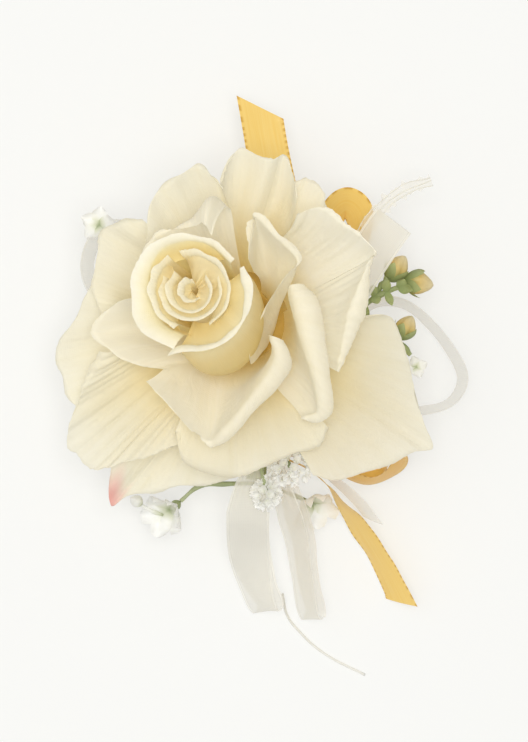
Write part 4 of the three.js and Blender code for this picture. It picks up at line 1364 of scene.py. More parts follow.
PINCHED = (PINCH, PINCH)
RIBBONS: dict[str, RibbonRun] = {
    "gold_tail_upper": RibbonRun(
        ((6, -14.8, 1.02, -20, 85), (9, -11, 1.02, -10, 88), (11.9, -6, 1.02, -5, 88),
         (12.9, 1, 1.02, -5, 88), (12.4, 10, 1.02, -8, 86), (10, 20, 1, -10, 60),
         (7.5, 29, 0.97, -13, 15), (5.6, 38, 0.9, -12, 0), (3.8, 48.3, 0.78, -12, 0)),
        Slot.GOLD, slant=-3.7,
    ),
    "gold_loop_upper": RibbonRun(
        ((6.8, -17.4, 1.02, 150, 80), (12.4, -11, 1.02, 160, 82), (15.8, -3.5, 1.02, 160, 80),
         (18.2, 13, 1, 165, 70), (20, 24, 0.96, 130, 50), (23, 26.8, 0.95, 80, 48),
         (26, 24.5, 0.95, 25, 50), (25.6, 15, 0.98, -10, 68), (20.8, -3, 1.02, -20, 80),
         (7.1, -19.4, 1.02, -30, 80)),
        Slot.GOLD, pinch=PINCHED,
    ),
    "gold_loop_lower": RibbonRun(
        ((7.4, -26.8, 0.9, -130, 92), (17, -30.6, 0.85, -115, 98), (23, -34, 0.82, -110, 102),
         (28, -35.6, 0.82, -90, 104), (32.5, -34.2, 0.82, -60, 108), (35.6, -31, 0.82, -30, 110),
         (34.9, -29.6, 0.83, 25, 92), (31, -32.4, 0.86, 75, 56), (24.5, -31.4, 0.87, 88, 62),
         (17, -26.4, 0.89, 90, 76), (7.3, -25, 0.92, 90, 85)),
        Slot.GOLD, pinch=PINCHED,
    ),
    "gold_tail_lower": RibbonRun(
        ((6.1, -29.4, 0.8, 30, 85), (13.5, -32.2, 0.7, 30, 89), (18.4, -35.8, 0.6, 28, 89),
         (21.3, -39.5, 0.5, 27, 84), (25.4, -45, 0.37, 27, 66), (30.8, -53.5, 0.26, 27, 60),
         (35.7, -63, 0.23, 27, 54)),
        Slot.GOLD, Body.GOLD_TAIL, slant=2.0,
    ),
    "sheer_loop_upper": RibbonRun(
        ((6, -21.8, 1.2, -35, 0), (9.4, -17.8, 1.31, -35, 0), (14.5, -12, 1.36, -35, 0),
         (23, 6, 1.37, -37, 0), (30.5, 18, 1.33, -37, 0), (33.9, 22.8, 1.36, -37, 0),
         (30.5, 18, 1.4, -37, 0), (23, 6, 1.43, -37, 0), (14.5, -12, 1.46, -35, 0),
         (5.2, -21, 1.36, -35, 0)),
        Slot.SHEER, pinch=PINCHED, cup=0.0,
    ),
    "sheer_loop_right": RibbonRun(
        ((7.2, -21.3, 0.98, 120, 85), (16.6, -14.4, 1, 130, 85), (23, -5.5, 1.01, 125, 84),
         (27.5, 2.5, 0.97, 110, 80), (32, 4.6, 0.9, 85, 78), (38, 3, 0.84, 60, 80),
         (45.4, -4.5, 0.8, 35, 79), (49.3, -12.5, 0.8, 10, 78), (46.5, -18, 0.8, -50, 79),
         (38, -20.2, 0.84, -90, 78), (26, -21, 0.9, -95, 84), (8.2, -23.2, 0.95, -90, 85)),
        Slot.SHEER, pinch=PINCHED,
    ),
    "sheer_loop_left": RibbonRun(
        ((-3.6, -27, 1, 200, 75), (-13.5, -15, 1.1, 215, 86), (-24, -2, 1.15, 215, 84),
         (-32, 5, 1.15, 210, 75), (-35, 12, 1.15, 175, 75), (-33, 18.8, 1.15, 140, 75),
         (-27.4, 21.6, 1.15, 95, 75), (-23.8, 17.5, 1.15, 40, 75), (-23.4, 8, 1.15, 10, 75),
         (-19, -4, 1.14, 20, 84), (-11.6, -14, 1.1, 30, 86), (-3.4, -25.2, 1, 30, 75)),
        Slot.SHEER, pinch=PINCHED,
    ),
    "sheer_loop_front_left": RibbonRun(
        ((2.6, -30.7, 1.13, 0, 0), (1.3, -38, 1.12, 0, 0), (1, -45, 1, 0, 0), (1.3, -51.5, 0.68, 0, 5),
         (2.4, -58, 0.4, 8, 34), (4, -63.4, 0.3, 14, 48), (5.2, -65, 0.25, 15, 51),
         (5.9, -63.3, 0.23, 14, 48), (3.5, -58.3, 0.33, 8, 34), (1.4, -51, 0.58, 0, 5),
         (1.1, -44.5, 0.9, 0, 0), (1.6, -38, 1.05, 0, 0), (2.8, -30.9, 1.08, 0, 0)),
        Slot.SHEER, Body.FRONT_LEFT, pinch=PINCHED, cup=0.0,
    ),
    "sheer_loop_front_right": RibbonRun(
        ((6.6, -30.8, 1.05, 0, 40), (9, -38, 1, 5, 50), (10.7, -44, 0.88, 10, 58),
         (12, -50, 0.62, 10, 62), (13.4, -58, 0.4, 10, 62), (14.5, -65.2, 0.27, 10, 62),
         (15.4, -66.9, 0.245, 10, 62), (16.2, -65.1, 0.225, 10, 62), (14.8, -58.5, 0.36, 10, 62),
         (13.6, -50, 0.58, 10, 62), (12.2, -43.5, 0.84, 10, 58), (10.4, -37.5, 0.95, 5, 50),
         (8, -30.9, 1, 0, 40)),
        Slot.SHEER, Body.FRONT_RIGHT, pinch=PINCHED, cup=0.0,
    ),
    "sheer_cut_end": RibbonRun(
        ((7.1, -28.3, 0.86, 40, 85), (15.5, -32, 0.8, 45, 85), (21.4, -36.2, 0.74, 47, 78),
         (26, -40.5, 0.66, 48, 75), (29.2, -44.6, 0.6, 48, 75)),
        Slot.SHEER, slant=1.0,
    ),
}


@dataclass
class Bows:
    """Both ribbons: their loops, tails and knots, the frayed end and the drawn thread.

    Attributes:
        finishes: The corsage's materials.
        steps: Points along each ribbon.
        across: Points across each ribbon.
        widen: How fast a ribbon opens from a knot, in widths over its whole length.
        wave_mm: Length over which its ripples are counted.
        sway: Depth of the ripples in its face.
        frill: Depth of the ripples along its edges.
        calm: Share of both that the sheer ribbon takes.
        pleat: Height of the pleats at a knot.
        thread_radius: Radius of the drawn thread.
        thread_clear: Its least clearance over the floor.
        thread_steps: Points along it.
        knot_wall: Thickness of a knot.
        knot_wide: Its width along the stems.
        knot_fold: Depth of its folds.
        gold_knot_y: Place of the gold knot along the stems.
        sheer_knot_y: Place of the sheer knot along them.
        torn_half: Half the width of the torn strip at its root.
        torn_taper: Share of that width that it loses on the way to its tip.
        torn_ragged: Depth of its ragged edges, as a share of its width.
        torn_lift: Unevenness of its lie and of the filaments'.
        torn_steps: Points along it.
        strand_radius: Radius of the filaments beside it.
        strand_late: Points by which the first filament starts late, and by which each next one is later.
        tape_groove: Depth of the groove where one turn of the stems' tape laps the last.
        tape_pitch: Turn of the tape in radians for each millimetre.
        bundle_steps: Points along the stems.
        bundle_sides: Points round them.
        bundle: Middle of the stems as x, y, share of their height and radius.
        frayed: Middle of the torn strip as x, y and share of the stems' height.
        thread: Middle of the drawn thread in the same way.
    """

    finishes: Finishes
    steps: int = 220
    across: int = 21
    widen: float = 4.0
    wave_mm: float = 40.0
    sway: float = 0.14
    frill: float = 0.12
    calm: float = 0.3
    pleat: float = 0.9
    thread_radius: float = 0.3
    thread_clear: float = 0.05
    thread_steps: int = 40
    knot_wall: float = 1.4
    knot_wide: float = 6.0
    knot_fold: float = 0.13
    gold_knot_y: float = -19.0
    sheer_knot_y: float = -27.0
    torn_half: float = 2.0
    torn_taper: float = 0.4
    torn_ragged: float = 0.35
    torn_lift: float = 0.25
    torn_steps: int = 120
    strand_radius: float = 0.12
    strand_late: tuple[int, int] = (18, 9)
    tape_groove: float = 0.1
    tape_pitch: float = 1.1
    bundle_steps: int = 160
    bundle_sides: int = 24
    bundle: tuple[tuple[float, float, float, float], ...] = (
        (0, 8.5, 1, 2.45), (0, 6.5, 1, 3.5), (0, -2, 1, 3.5), (0, -10, 1, 3.5), (0.4, -15, 1, 3.5),
        (1.6, -24, 0.97, 3.36), (3, -36, 0.86, 2.45),
    )
    frayed: tuple[tuple[float, float, float], ...] = (
        (24, 12, 1.32), (29, 23, 1.3), (36, 29.5, 1.28), (42.3, 31.8, 1.25),
    )
    thread: tuple[tuple[float, float, float], ...] = (
        (8.9, -61.2, 0.36), (9.2, -63.2, 0.2), (9.6, -65.1, 0.06), (10.7, -67.3, 0.0167), (13, -69.9, 0.0167),
        (15.7, -72.6, 0.0167), (20.2, -75.7, 0.0167), (27.4, -79.3, 0.0167),
    )

    def ribbon(self, run: RibbonRun, seed: int) -> Patch:
        """One ribbon's surface.

        A straight width line, square to the path, is carried along it. Near a knot it narrows and the spare
        cloth stands up in pleats; elsewhere it bows a little and ripples along its edges.

        Args:
            run: The ribbon's sizes.
            seed: Seed of its ripples.

        Returns:
            The open patch, with cloth coordinates in millimetres.
        """
        rows = curve_through(run.rows, self.steps)
        path = seen(rows[:, 0], rows[:, 1], rows[:, 2] * BUNDLE_Z)
        along = unit(np.gradient(path, axis=0))
        turn, rise = np.radians(rows[:, 3]), np.radians(rows[:, 4])
        line = np.stack([np.cos(turn) * np.cos(rise), np.sin(turn) * np.cos(rise), np.sin(rise)], axis=-1)
        line = unit(line - along * np.sum(line * along, axis=-1, keepdims=True))
        face = np.cross(along, line)
        share = np.linspace(0, 1, self.steps)
        opened = np.minimum(run.pinch[0] + self.widen * share, run.pinch[1] + self.widen * (1 - share))
        narrow = np.minimum(1, opened)
        a = np.linspace(-1, 1, self.across)[None, :]
        half = (RIBBON_WIDE / 2 * narrow)[:, None]
        length = run_length(path)
        waves = length[:, None] / self.wave_mm
        calm = self.calm if run.slot is Slot.SHEER else 1.0
        bow = run.cup * (1 - a**2) + calm * self.sway * ripple(waves, a / 2, seed, 2.0, 0.6, 6)
        edge = calm * self.frill * np.abs(a) ** 3 * ripple(waves, np.sign(a), seed + 1, 5.0, 1.0, 6)
        pleat = self.pleat * (1 - narrow)[:, None] * np.sin(3 * np.pi * a)
        cut = run.slant * smooth(share, 0.94, 1.0)[:, None] * a
        moved = (bow + edge + pleat)[..., None]
        points = path[:, None] + line[:, None] * (half * a)[..., None] + face[:, None] * moved
        points = points + along[:, None] * cut[..., None]
        uv = np.stack([(a + 1) * RIBBON_WIDE / 2 + 0 * length[:, None], length[:, None] + 0 * a], axis=-1)
        return Patch(points, uv=uv, reach=np.repeat(share[:, None], self.across, 1))

    def knot(self, y: float, seed: int) -> Patch:
        """A band of ribbon tied round the stems.

        The section is a flat oval, bulged outward and ridged by the folds of the ribbon, carried round the
        bundle.

        Args:
            y: Its middle along the bundle.
            seed: Seed of its folds.

        Returns:
            A closed ring.
        """
        section, sides = 72, 90
        dense = curve_through(self.bundle, 400)
        s = np.linspace(0, 2 * np.pi, section, endpoint=False)[:, None]
        turn = np.linspace(0, 2 * np.pi, sides, endpoint=False)[None, :]
        way = np.cos(s) * self.knot_wide / 2
        stray = 0.7 * ripple(turn / (2 * np.pi), 0 * s, seed, 3, 0, 4)
        folds = self.knot_fold * np.sin(2.2 * way + stray)
        outer = GAP + self.knot_wall * (0.55 + 0.5 * np.sin(s)) + folds * np.clip(np.sin(s), 0, 1)
        lift = np.clip(outer, GAP + 0.05, None)
        place = np.stack([np.interp(-(y + way), -dense[:, 1], dense[:, k]) for k in range(4)], axis=-1)
        middle = np.stack([place[..., 0], place[..., 1], place[..., 2] * BUNDLE_Z], axis=-1)
        radius = place[..., 3] + lift
        ring = np.stack([radius * np.cos(turn), 0 * radius, radius * np.sin(turn)], axis=-1)
        points = middle + ring
        uv = np.stack([way + 5 + 0 * turn, turn * 4.5 + 0 * s], axis=-1)
        return Patch(points, uv=uv, loop_rows=True, loop_cols=True)

    def stems(self) -> Patch:
        """The bundle of stems: a tube, grooved in a spiral where each turn of its tape laps the last.

        Returns:
            The closed patch.
        """
        rows = curve_through(self.bundle, self.bundle_steps)
        middle = np.stack([rows[:, 0], rows[:, 1], rows[:, 2] * BUNDLE_Z], axis=-1)
        turn = np.linspace(0, 2 * np.pi, self.bundle_sides, endpoint=False)[None, :]
        tape = self.tape_groove * np.sin(turn + run_length(middle)[:, None] * self.tape_pitch) ** 4
        return tube(middle, rows[:, 3:4] - tape, self.bundle_sides)

    def frayed_end(self) -> list[Patch]:
        """A torn strip: a narrow sheet with ragged edges and drawn filaments beside it.

        Returns:
            The open sheet and a closed patch for each filament.
        """
        rows = curve_through(self.frayed, self.torn_steps)
        path = seen(rows[:, 0], rows[:, 1], rows[:, 2] * BUNDLE_Z)
        along = unit(np.gradient(path, axis=0))
        side = unit(np.cross(along, UPRIGHT))
        share = np.linspace(0, 1, self.torn_steps)[:, None]
        taper = 1 - self.torn_taper * share
        a = np.linspace(-1, 1, 9)[None, :]
        ragged = 1 + self.torn_ragged * ripple(share, np.sign(a), 71, 26, 1.0, 8) * np.abs(a)
        half = self.torn_half * taper * ragged
        points = path[:, None] + side[:, None] * (half * a)[..., None]
        points[..., 2] += self.torn_lift * ripple(share, a / 2, 72, 3, 1, 5)
        uv = np.stack([4.2 + 0.8 * a + 0 * share, share * 30 + 0 * a], axis=-1)
        patches = [Patch(points, uv=uv)]
        for number, offset in enumerate(np.linspace(-1.6, 1.6, 3)):
            sway = offset * taper + 0.3 * ripple(share, 0 * share, 80 + number, 3, 0, 4)
            lift = self.torn_lift * ripple(share, 0 * share, 90 + number, 4, 0, 4)
            late = self.strand_late[0] + self.strand_late[1] * number
            strand = (path + side * sway + UPRIGHT * lift)[late:]
            patches.append(tube(strand, np.full(len(strand), self.strand_radius), 6))
        return patches

    def build(self) -> None:
        """Build and dress the ribbons, knots, frayed end and thread."""
        look = self.finishes
        cloth = {Slot.GOLD: look.gold, Slot.SHEER: look.sheer}
        knots = {
            Slot.GOLD: ("gold_knot", self.gold_knot_y),
            Slot.SHEER: ("sheer_knot", self.sheer_knot_y),
        }
        route = curve_through(self.thread, self.thread_steps)
        path = seen(route[:, 0], route[:, 1], route[:, 2] * BUNDLE_Z)
        path[:, 2] = np.maximum(path[:, 2], self.thread_radius + self.thread_clear)
        drawn = tube(path, np.full(len(path), self.thread_radius), 10)
        thread = dressed(
            "drawn_thread", [drawn], look.thread, Slot.SHEER, Body.FRONT_LEFT, "loose_thread", closed=True,
        )
        for number, (name, run) in enumerate(RIBBONS.items()):
            patch = self.ribbon(run, 17 * number + 3)
            piece = dressed(f"woven_{name}", [patch], cloth[run.slot], run.slot, run.body, name)
        dressed("frayed_strip", self.frayed_end(), look.sheer, Slot.SHEER, Body.CORSAGE, "sheer_frayed_tail")
        for slot, (name, y) in knots.items():
            ring = self.knot(y, int(-y))
            dressed(f"tied_{name}", [ring], cloth[slot], slot, Body.CORSAGE, name, closed=True)
        dressed("taped_stems", [self.stems()], look.stem, Slot.STEM, Body.CORSAGE, "stem_bundle", closed=True)


# Filler


def twig(rows: Sequence[Sequence[float]], radius: float, count: int, seed: int) -> Patch:
    """A wire stem with small nodes along it.

    Args:
        rows: x and y on the plane, and share of the stems' height.
        radius: Its radius.
        count: Points along it.
        seed: Seed of its nodes.

    Returns:
        A closed patch.
    """
    samples = curve_through(rows, count)
    path = seen(samples[:, 0], samples[:, 1], samples[:, 2] * BUNDLE_Z)
    s = np.linspace(0, 1, count)
    return tube(path, radius * (0.85 + 0.15 * ripple(s, 0 * s, seed, 5, 0, 5)), 12)


def spot(x: float, y: float, share: float) -> Grid:
    """True point of a place on the plane at a height share."""
    return seen(np.array(x), np.array(y), np.array(share * BUNDLE_Z))


GOLDEN_TURN = 2.39996  # the golden angle, which spreads points evenly


@dataclass
class Sprigs:
    """Bud sprig, white florets and blossom clumps.

    Attributes:
        finishes: The corsage's materials.
        stem: Radius of the stems in millimetres.
        bud_blunt: Bluntness of the sprig's buds.
        blossom: Length, half width and cup of a blossom's leaf in a clump.
        clump_stem: Radius of a clump's stalk.
    """

    finishes: Finishes
    stem: float = 0.8
    bud_blunt: float = 0.6
    blossom: tuple[float, float, float] = (1.5, 0.8, 0.45)
    clump_stem: float = 0.55

    def floret(
        self, centre: Grid, reach: float, lobes: int, first: float, cup: float, seed: int,
        face: tuple[float, float, float] = (0.0, 0.0, 1.0),
    ) -> list[Patch]:
        """A floret: cupped petals set round a middle, each turned a little out of true.

        Args:
            centre: Middle in millimetres.
            reach: Length of a petal.
            lobes: How many petals it has.
            first: Compass angle of the first petal.
            cup: Rise of each petal's rim, as a share of its length.
            seed: Seed of its unevenness.
            face: Direction that it faces.

        Returns:
            One open patch for each petal.
        """
        patches = []
        rng = np.random.default_rng(seed)
        axis = unit(np.array(face))
        side = unit(np.cross(np.array([0.0, 1.0, 0.0]), axis))
        other = np.cross(axis, side)
        for number in range(lobes):
            turn = np.radians(first + 360 * number / lobes)
            flat = side * np.cos(turn) + other * np.sin(turn)
            out = flat + axis * (0.15 + 0.2 * rng.uniform(-1, 1))
            patches.append(blade(centre, out, axis - 0.2 * flat, reach, 0.42 * reach, cup, seed + number))
        return patches

    def sepals(self, centre: Grid, axis: Grid, half: float, wide: float) -> list[Patch]:
        """Five pointed leaves that lie on a bud from its root and stand off at their tips.

        Each follows the bud's own outline a little further out, and its width falls from root to tip.

        Args:
            centre: Middle of the bud in millimetres.
            axis: Direction of its tip, of length one.
            half: Half its length.
            wide: Its greatest radius.

        Returns:
            Five open patches.
        """
        side = unit(np.cross(axis, ASKEW))
        other = np.cross(axis, side)
        rows, cols = 12, 7
        v = np.linspace(0, 1, rows)[:, None]
        u = np.linspace(-1, 1, cols)[None, :]
        s = 0.03 + 0.62 * v
        radius = bud_radius(s, wide, self.bud_blunt) * (1.06 + 0.3 * v**3)
        patches = []
        for first in np.linspace(0.4, 0.4 + 2 * np.pi, 5, endpoint=False):
            turn = first + 0.68 * u * (1 - v**2.2)
            points = centre + axis * ((2 * s - 1) * half + 0 * u)[..., None]
            points = points + side * (radius * np.cos(turn))[..., None]
            points = points + other * (radius * np.sin(turn))[..., None]
            patches.append(Patch(points, reach=np.repeat(v, cols, 1)))
        return patches

    def leaves(self) -> list[Patch]:
        """Small leaves in pairs along the upper branch, each turned out from it.

        Returns:
            One open patch for each leaf.
        """
        patches = []
        rng = np.random.default_rng(301)
        for x, y, high in ((26.6, 4.4, 1.33), (29.4, 5.9, 1.31), (32.2, 6.8, 1.28), (35.0, 7.6, 1.25)):
            for swing in (60.0, -60.0):
                turn = np.radians(22 + swing + rng.uniform(-40, 40))
                out = np.array([np.cos(turn), np.sin(turn), rng.uniform(0.0, 0.5)])
                up = UPRIGHT + 0.3 * rng.uniform(-1, 1, 3)
                long, wide = rng.uniform(2.2, 4.2), rng.uniform(0.9, 1.4)
                patches.append(blade(spot(x, y, high), out, up, long, wide, 0.25, int(10 * x + swing)))
        return patches

    def clump(self, centre: Grid, half: tuple[float, float, float], count: int, seed: int) -> list[Patch]:
        """A clump of tiny crinkled blossoms, spread evenly over the upper half of an oval.

        Args:
            centre: Middle of the oval in millimetres.
            half: Its three half widths.
            count: How many blossoms it has.
            seed: Seed of their turns.

        Returns:
            Four open patches for each blossom.
        """
        patches = []
        rng = np.random.default_rng(seed)
        for number in range(count):
            high = 1 - 1.15 * (number + 0.5) / count
            turn = GOLDEN_TURN * number
            flat = np.sqrt(max(1 - high * high, 0))
            up = np.array([flat * np.cos(turn), flat * np.sin(turn), high])
            root = centre + up * np.array(half) * rng.uniform(0.75, 1.0)
            side = unit(np.cross(up, np.array([0.2, 0.5, 0.8])))
            other = np.cross(up, side)
            for leaf in range(4):
                swing = np.pi / 2 * leaf + rng.uniform(0, 1.5)
                out = side * np.cos(swing) + other * np.sin(swing)
                mark = seed + 7 * number + leaf
                patches.append(blade(root, out + 0.5 * up, up - 0.3 * out, *self.blossom, mark))
        return patches

    def bloom(self, name: str, body: Body, petals: list[Patch]) -> None:
        """Dress the petals of a floret."""
        dressed(f"{name}_petals", petals, self.finishes.floret, Slot.FLORET, body, name)

    def stalk(self, name: str, wire: Patch) -> None:
        """Dress the stalk of a floret or clump, which stands for no node."""
        dressed(f"{name}_stalk", [wire], self.finishes.stalk, Slot.STEM, Body.CORSAGE, closed=True)

    def build(self) -> None:
        """Build and dress every sprig."""
        self.build_buds()
        self.build_florets()
        for name, place, half, count, route in (
            ("blossom_clump_right", (10.5, -32.5, 1.36), (4.6, 3.4, 2.4), 30,
             ((10.5, -32.5, 1.36), (9.5, -30.5, 1.24), (6.2, -28.3, 1.09))),
            ("blossom_clump_left", (5.3, -38.6, 1.26), (2.6, 3.2, 1.5), 22,
             ((5.3, -38.6, 1.28), (4.4, -34.6, 1.28), (3.4, -29.4, 1.19))),
        ):
            blossoms = self.clump(spot(*place), half, count, 200 + count)
            dressed(f"crinkled_{name}", blossoms, self.finishes.blossom, Slot.FLORET, Body.CORSAGE, name)
            self.stalk(name, twig(route, self.clump_stem, 30, count))

    def build_buds(self) -> None:
        """Build the sprig of three buds and a floret, with its wire, branches, leaves and sepals."""
        look = self.finishes
        wire = twig(((5.2, -26, 1.18), (12, -20, 1.25), (19, -12, 1.3), (24.1, -2.2, 1.3)), self.stem, 60, 1)
        dressed("sprig_wire_taped", [wire], look.stem, Slot.STEM, Body.CORSAGE, "sprig_wire", closed=True)
        branches = [
            twig(((24.2, -1.4, 1.3), (26.5, 3, 1.3), (31, 6.2, 1.25), (37, 8.6, 1.2)), self.stem, 60, 2),
            twig(((29, 5.2, 1.27), (31.4, 8.6, 1.2), (32.6, 10.3, 1.15)), self.stem, 40, 3),
            twig(((24.6, -0.6, 1.3), (30, -1.6, 1.3), (35.5, -5, 1.22), (37.6, -7.4, 1.2)), self.stem, 60, 4),
        ]
        body = Body.BUD_SPRIG
        dressed("bud_sprig_branches", branches, look.calyx, Slot.STEM, body, "bud_sprig_stem", closed=True)
        dressed("bud_sprig_leaves", self.leaves(), look.calyx, Slot.STEM, body)
        for name, place, half, wide, turn in (
            ("sprig_bud_upper", (34.5, 12.0, 1.15), 3.6, 2.7, 55),
            ("sprig_bud_end", (39.4, 8.8, 1.18), 3.6, 2.9, -10),
            ("sprig_bud_lower", (36.5, -1.3, 1.24), 3.2, 2.5, 60),
        ):
            axis = unit(np.array([np.cos(np.radians(turn)), np.sin(np.radians(turn)), 0.1]))
            bud = egg(spot(*place), axis, half, wide, self.bud_blunt, 4, 0.22)
            dressed(f"moulded_{name}", [bud], look.bud, Slot.BUD, body, name, closed=True)
            cup = self.sepals(spot(*place), axis, half, wide)
            dressed(f"{name}_sepals", cup, look.calyx, Slot.STEM, body)
        self.bloom("sprig_floret", body, self.floret(spot(38.9, -10.1, 1.26), 3.0, 4, 20, 0.3, 41))

    def build_florets(self) -> None:
        """Build the three loose white florets with their stems."""
        look = self.finishes
        self.bloom("upper_floret", Body.CORSAGE, self.floret(spot(-32.4, 21.8, 1.46), 4.6, 5, 10, 0.35, 51))
        route = (
            (-3.4, -14.6, 0.97), (-13, -10, 0.86), (-18, -2, 0.86), (-24, 9, 0.86), (-28.6, 15.6, 1),
            (-30.6, 19, 1.3), (-31.6, 20.8, 1.44),
        )
        self.stalk("upper_floret", twig(route, self.stem, 110, 5))
        bell = self.floret(spot(-16.6, -42.2, 0.73), 6.4, 5, 30, 0.42, 61, (-0.5, -0.4, 0.77))
        body = Body.LOWER_SPRIG
        self.bloom("lower_floret", body, bell)
        bead = [
            egg(spot(-24, -40.2, 0.8), np.array([-0.8, 0.5, 0.3]), 1.7, 1.5, 0.6, 5, 0.1),
            twig(((-18, -43.4, 0.72), (-21.5, -42, 0.76), (-24, -40.3, 0.8)), 0.5, 24, 6),
        ]
        dressed("lower_floret_bead", bead, look.floret, Slot.FLORET, body, closed=True)
        stem = [
            twig(((2.6, -36.2, 0.86), (-4, -36.4, 0.84), (-10, -37, 0.8), (-14, -40.2, 0.75)), 0.6, 60, 7),
            egg(spot(-15.2, -41.2, 0.735), np.array([-0.75, -0.65, -0.05]), 1.6, 1.3, 0.8, 5, 0.2),
        ]
        dressed("lower_floret_stalk", stem, look.stalk, Slot.STEM, body, "lower_floret_stem", closed=True)
        bell = self.floret(spot(15.6, -40.8, 0.4), 6.6, 5, 0, 0.4, 71, (0.25, -0.6, 0.76))
        self.bloom("front_floret", Body.CORSAGE, bell)
        route = ((15.6, -40.8, 0.4), (13, -39.6, 0.47), (9, -38, 0.62), (4.3, -35.7, 0.83))
        self.stalk("front_floret", twig(route, 0.6, 50, 8))


# Wristlet


@dataclass
class Wristlet:
    """Ruched elastic band with its clamp.

    Attributes:
        finishes: The corsage's materials.
        long: Outer length of the relaxed band.
        high: Outer height of the relaxed band.
        wide: Width along the arm.
        thick: Thickness.
        pleats: Pleats round the band.
        crest: Share of the thickness that the pleats take up.
        frill: Share of the width by which the edges frill.
        around: Points round the band.
        section: Points round its section.
    """

    finishes: Finishes
    long: float = 58.0
    high: float = 16.0
    wide: float = 15.0
    thick: float = 1.2
    pleats: int = 46
    crest: float = 0.2
    frill: float = 0.02
    around: int = 560
    section: int = 40

    def band(self) -> Patch:
        """The band as a closed ring.

        The middle line is two straight runs joined by half circles. A flat oval section is carried round it;
        its outer half stands up in pleats, which wander across the width, and its edges frill.

        Returns:
            The closed patch.
        """
        straight = self.long - self.high
        radius = (self.high - self.thick) / 2
        total = 2 * straight + 2 * np.pi * radius
        d = np.linspace(0, total, self.around, endpoint=False)
        turn = np.where(d < straight, 0, np.clip((d - straight) / radius, 0, np.pi))
        turn = np.where(d > straight + np.pi * radius, np.pi, turn)
        last = d - 2 * straight - np.pi * radius
        turn = np.where(d > 2 * straight + np.pi * radius, np.pi + last / radius, turn)
        first = np.clip(d, 0, straight) - straight / 2
        back = np.clip(d - straight - np.pi * radius, 0, straight)
        x = np.where(d <= straight + np.pi * radius, first, straight / 2 - back) + radius * np.sin(turn)
        z = self.high / 2 - radius * np.cos(turn)
        out = np.stack([np.sin(turn), 0 * turn, -np.cos(turn)], axis=-1)
        middle = np.stack([x, 0 * x, z], axis=-1)
        s = np.linspace(0, 2 * np.pi, self.section, endpoint=False)[None, :]
        across = np.cos(s)
        way = (d / total)[:, None]
        pleat = np.sin(2 * np.pi * self.pleats * way + 1.6 * ripple(across, way, 9, 1.2, 3, 6))
        flat = np.sign(np.sin(s)) * np.abs(np.sin(s)) ** 0.4
        lift = flat * self.thick / 2 * (1 - self.crest + self.crest * pleat)
        y = self.wide / 2 * across * (1 + self.frill * pleat)
        points = middle[:, None] + out[:, None] * lift[..., None] + np.array([0, 1.0, 0]) * y[..., None]
        uv = np.stack([y, np.broadcast_to(d[:, None], y.shape)], axis=-1)
        # reach is pleat height here: the band's finish paints shade in the troughs and a highlight on the
        # crests
        return Patch(points, uv=uv, reach=0.5 + 0.5 * pleat, loop_rows=True, loop_cols=True)

    def build(self) -> None:
        """Build the band, which rides on no body, and dress the clamp."""
        runs = ("band_upper_run", "band_lower_run", "band_bend_left", "band_bend_right")
        band = dressed("ruched_band", [self.band()], self.finishes.band, Slot.BAND, None, *runs, closed=True)
        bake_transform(band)
        tabs = [f"clamp_tab_{end}_{side}" for end in ("back", "front") for side in ("left", "right")]
        for name in ("clamp_plate", *tabs):
            coat(bpy.data.objects[name], self.finishes.steel)


# Studio


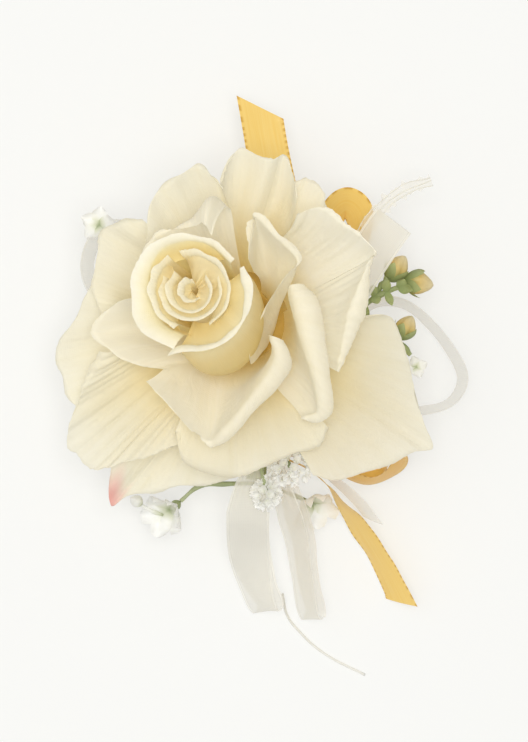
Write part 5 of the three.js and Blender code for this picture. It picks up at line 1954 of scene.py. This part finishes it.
@dataclass
class Studio:
    """Pale floor, soft lamps and the camera over the rose.

    Attributes:
        finishes: The corsage's materials.
        sky: Strength of the even light all round.
        lamp_watts: Power of the large soft lamp.
        lamp_wide: Its width in metres.
        lamp_at: Its place in metres.
        fill_watts: Power of the smaller lamp overhead, which lights the folds.
        fill_wide: Its width in metres.
        fill_at: Its place in metres.
        aim: Height in metres of the point that both face.
        floor_half: Half the width of the floor in millimetres.
        floor_drop: How far it lies under the band, so that the two don't mingle.
    """

    finishes: Finishes
    sky: float = 0.5
    lamp_watts: float = 1.9
    lamp_wide: float = 0.9
    lamp_at: tuple[float, float, float] = (-0.28, 0.02, 0.9)
    fill_watts: float = 4.8
    fill_wide: float = 0.35
    fill_at: tuple[float, float, float] = (0.02, 0.0, 1.0)
    aim: float = 0.03
    floor_half: float = 1500.0
    floor_drop: float = 0.1

    def lamp(self, name: str, at: tuple[float, float, float], watts: float, wide: float) -> None:
        """A square soft lamp that faces the middle of the corsage.

        Args:
            name: Name of the lamp.
            at: Its place in metres.
            watts: Its power.
            wide: Its width in metres.
        """
        light = bpy.data.lights.new(name, "AREA")
        light.energy, light.size = watts, wide
        holder = bpy.data.objects.new(name, light)
        holder.location = at
        holder.rotation_euler = facing(self.aim * UPRIGHT - np.array(at))
        bpy.context.scene.collection.objects.link(holder)

    def build(self) -> None:
        """Build floor, lamps, even light and camera."""
        scene = bpy.context.scene
        u = np.linspace(-self.floor_half, self.floor_half, 3)
        x, y = np.meshgrid(u, u)
        floor = mesh_object("pale_floor", [Patch(np.stack([y, x, 0 * x - self.floor_drop], axis=-1))])
        coat(floor, self.finishes.floor)
        self.lamp("soft_key", self.lamp_at, self.lamp_watts, self.lamp_wide)
        self.lamp("soft_fill", self.fill_at, self.fill_watts, self.fill_wide)
        world = bpy.data.worlds.new("even_white")
        world.use_nodes = True
        shade = world.node_tree.nodes["Background"]
        shade.inputs["Color"].default_value = linear(WHITE)
        shade.inputs["Strength"].default_value = self.sky
        scene.world = world
        eye = bpy.data.cameras.new("overhead_camera")
        eye.sensor_width = SENSOR
        eye.lens = PIXELS_PER_MM * SENSOR * VIEW_FROM / IMAGE_HIGH
        eye.clip_start, eye.clip_end = 0.01, 10.0
        camera = bpy.data.objects.new("overhead_camera", eye)
        camera.location = (VIEW[0] * MM, VIEW[1] * MM, (PLANE_Z + VIEW_FROM) * MM)
        scene.collection.objects.link(camera)
        scene.camera = camera
        scene.view_settings.view_transform = "Standard"


def facing(direction: Grid) -> Euler:
    """Rotation that turns a lamp's own downward axis along a direction."""
    return Vector(direction.tolist()).to_track_quat("-Z", "Y").to_euler()


def main() -> None:
    """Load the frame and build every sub-assembly."""
    logging.basicConfig(level=logging.INFO, format="%(name)s: %(message)s")
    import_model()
    finishes = Finishes()
    Studio(finishes).build()
    for assembly in (Bows(finishes), Rose(finishes), Sprigs(finishes), Wristlet(finishes)):
        LOG.info("building %s", type(assembly).__name__)
        assembly.build()


if __name__ == "__main__":
    main()
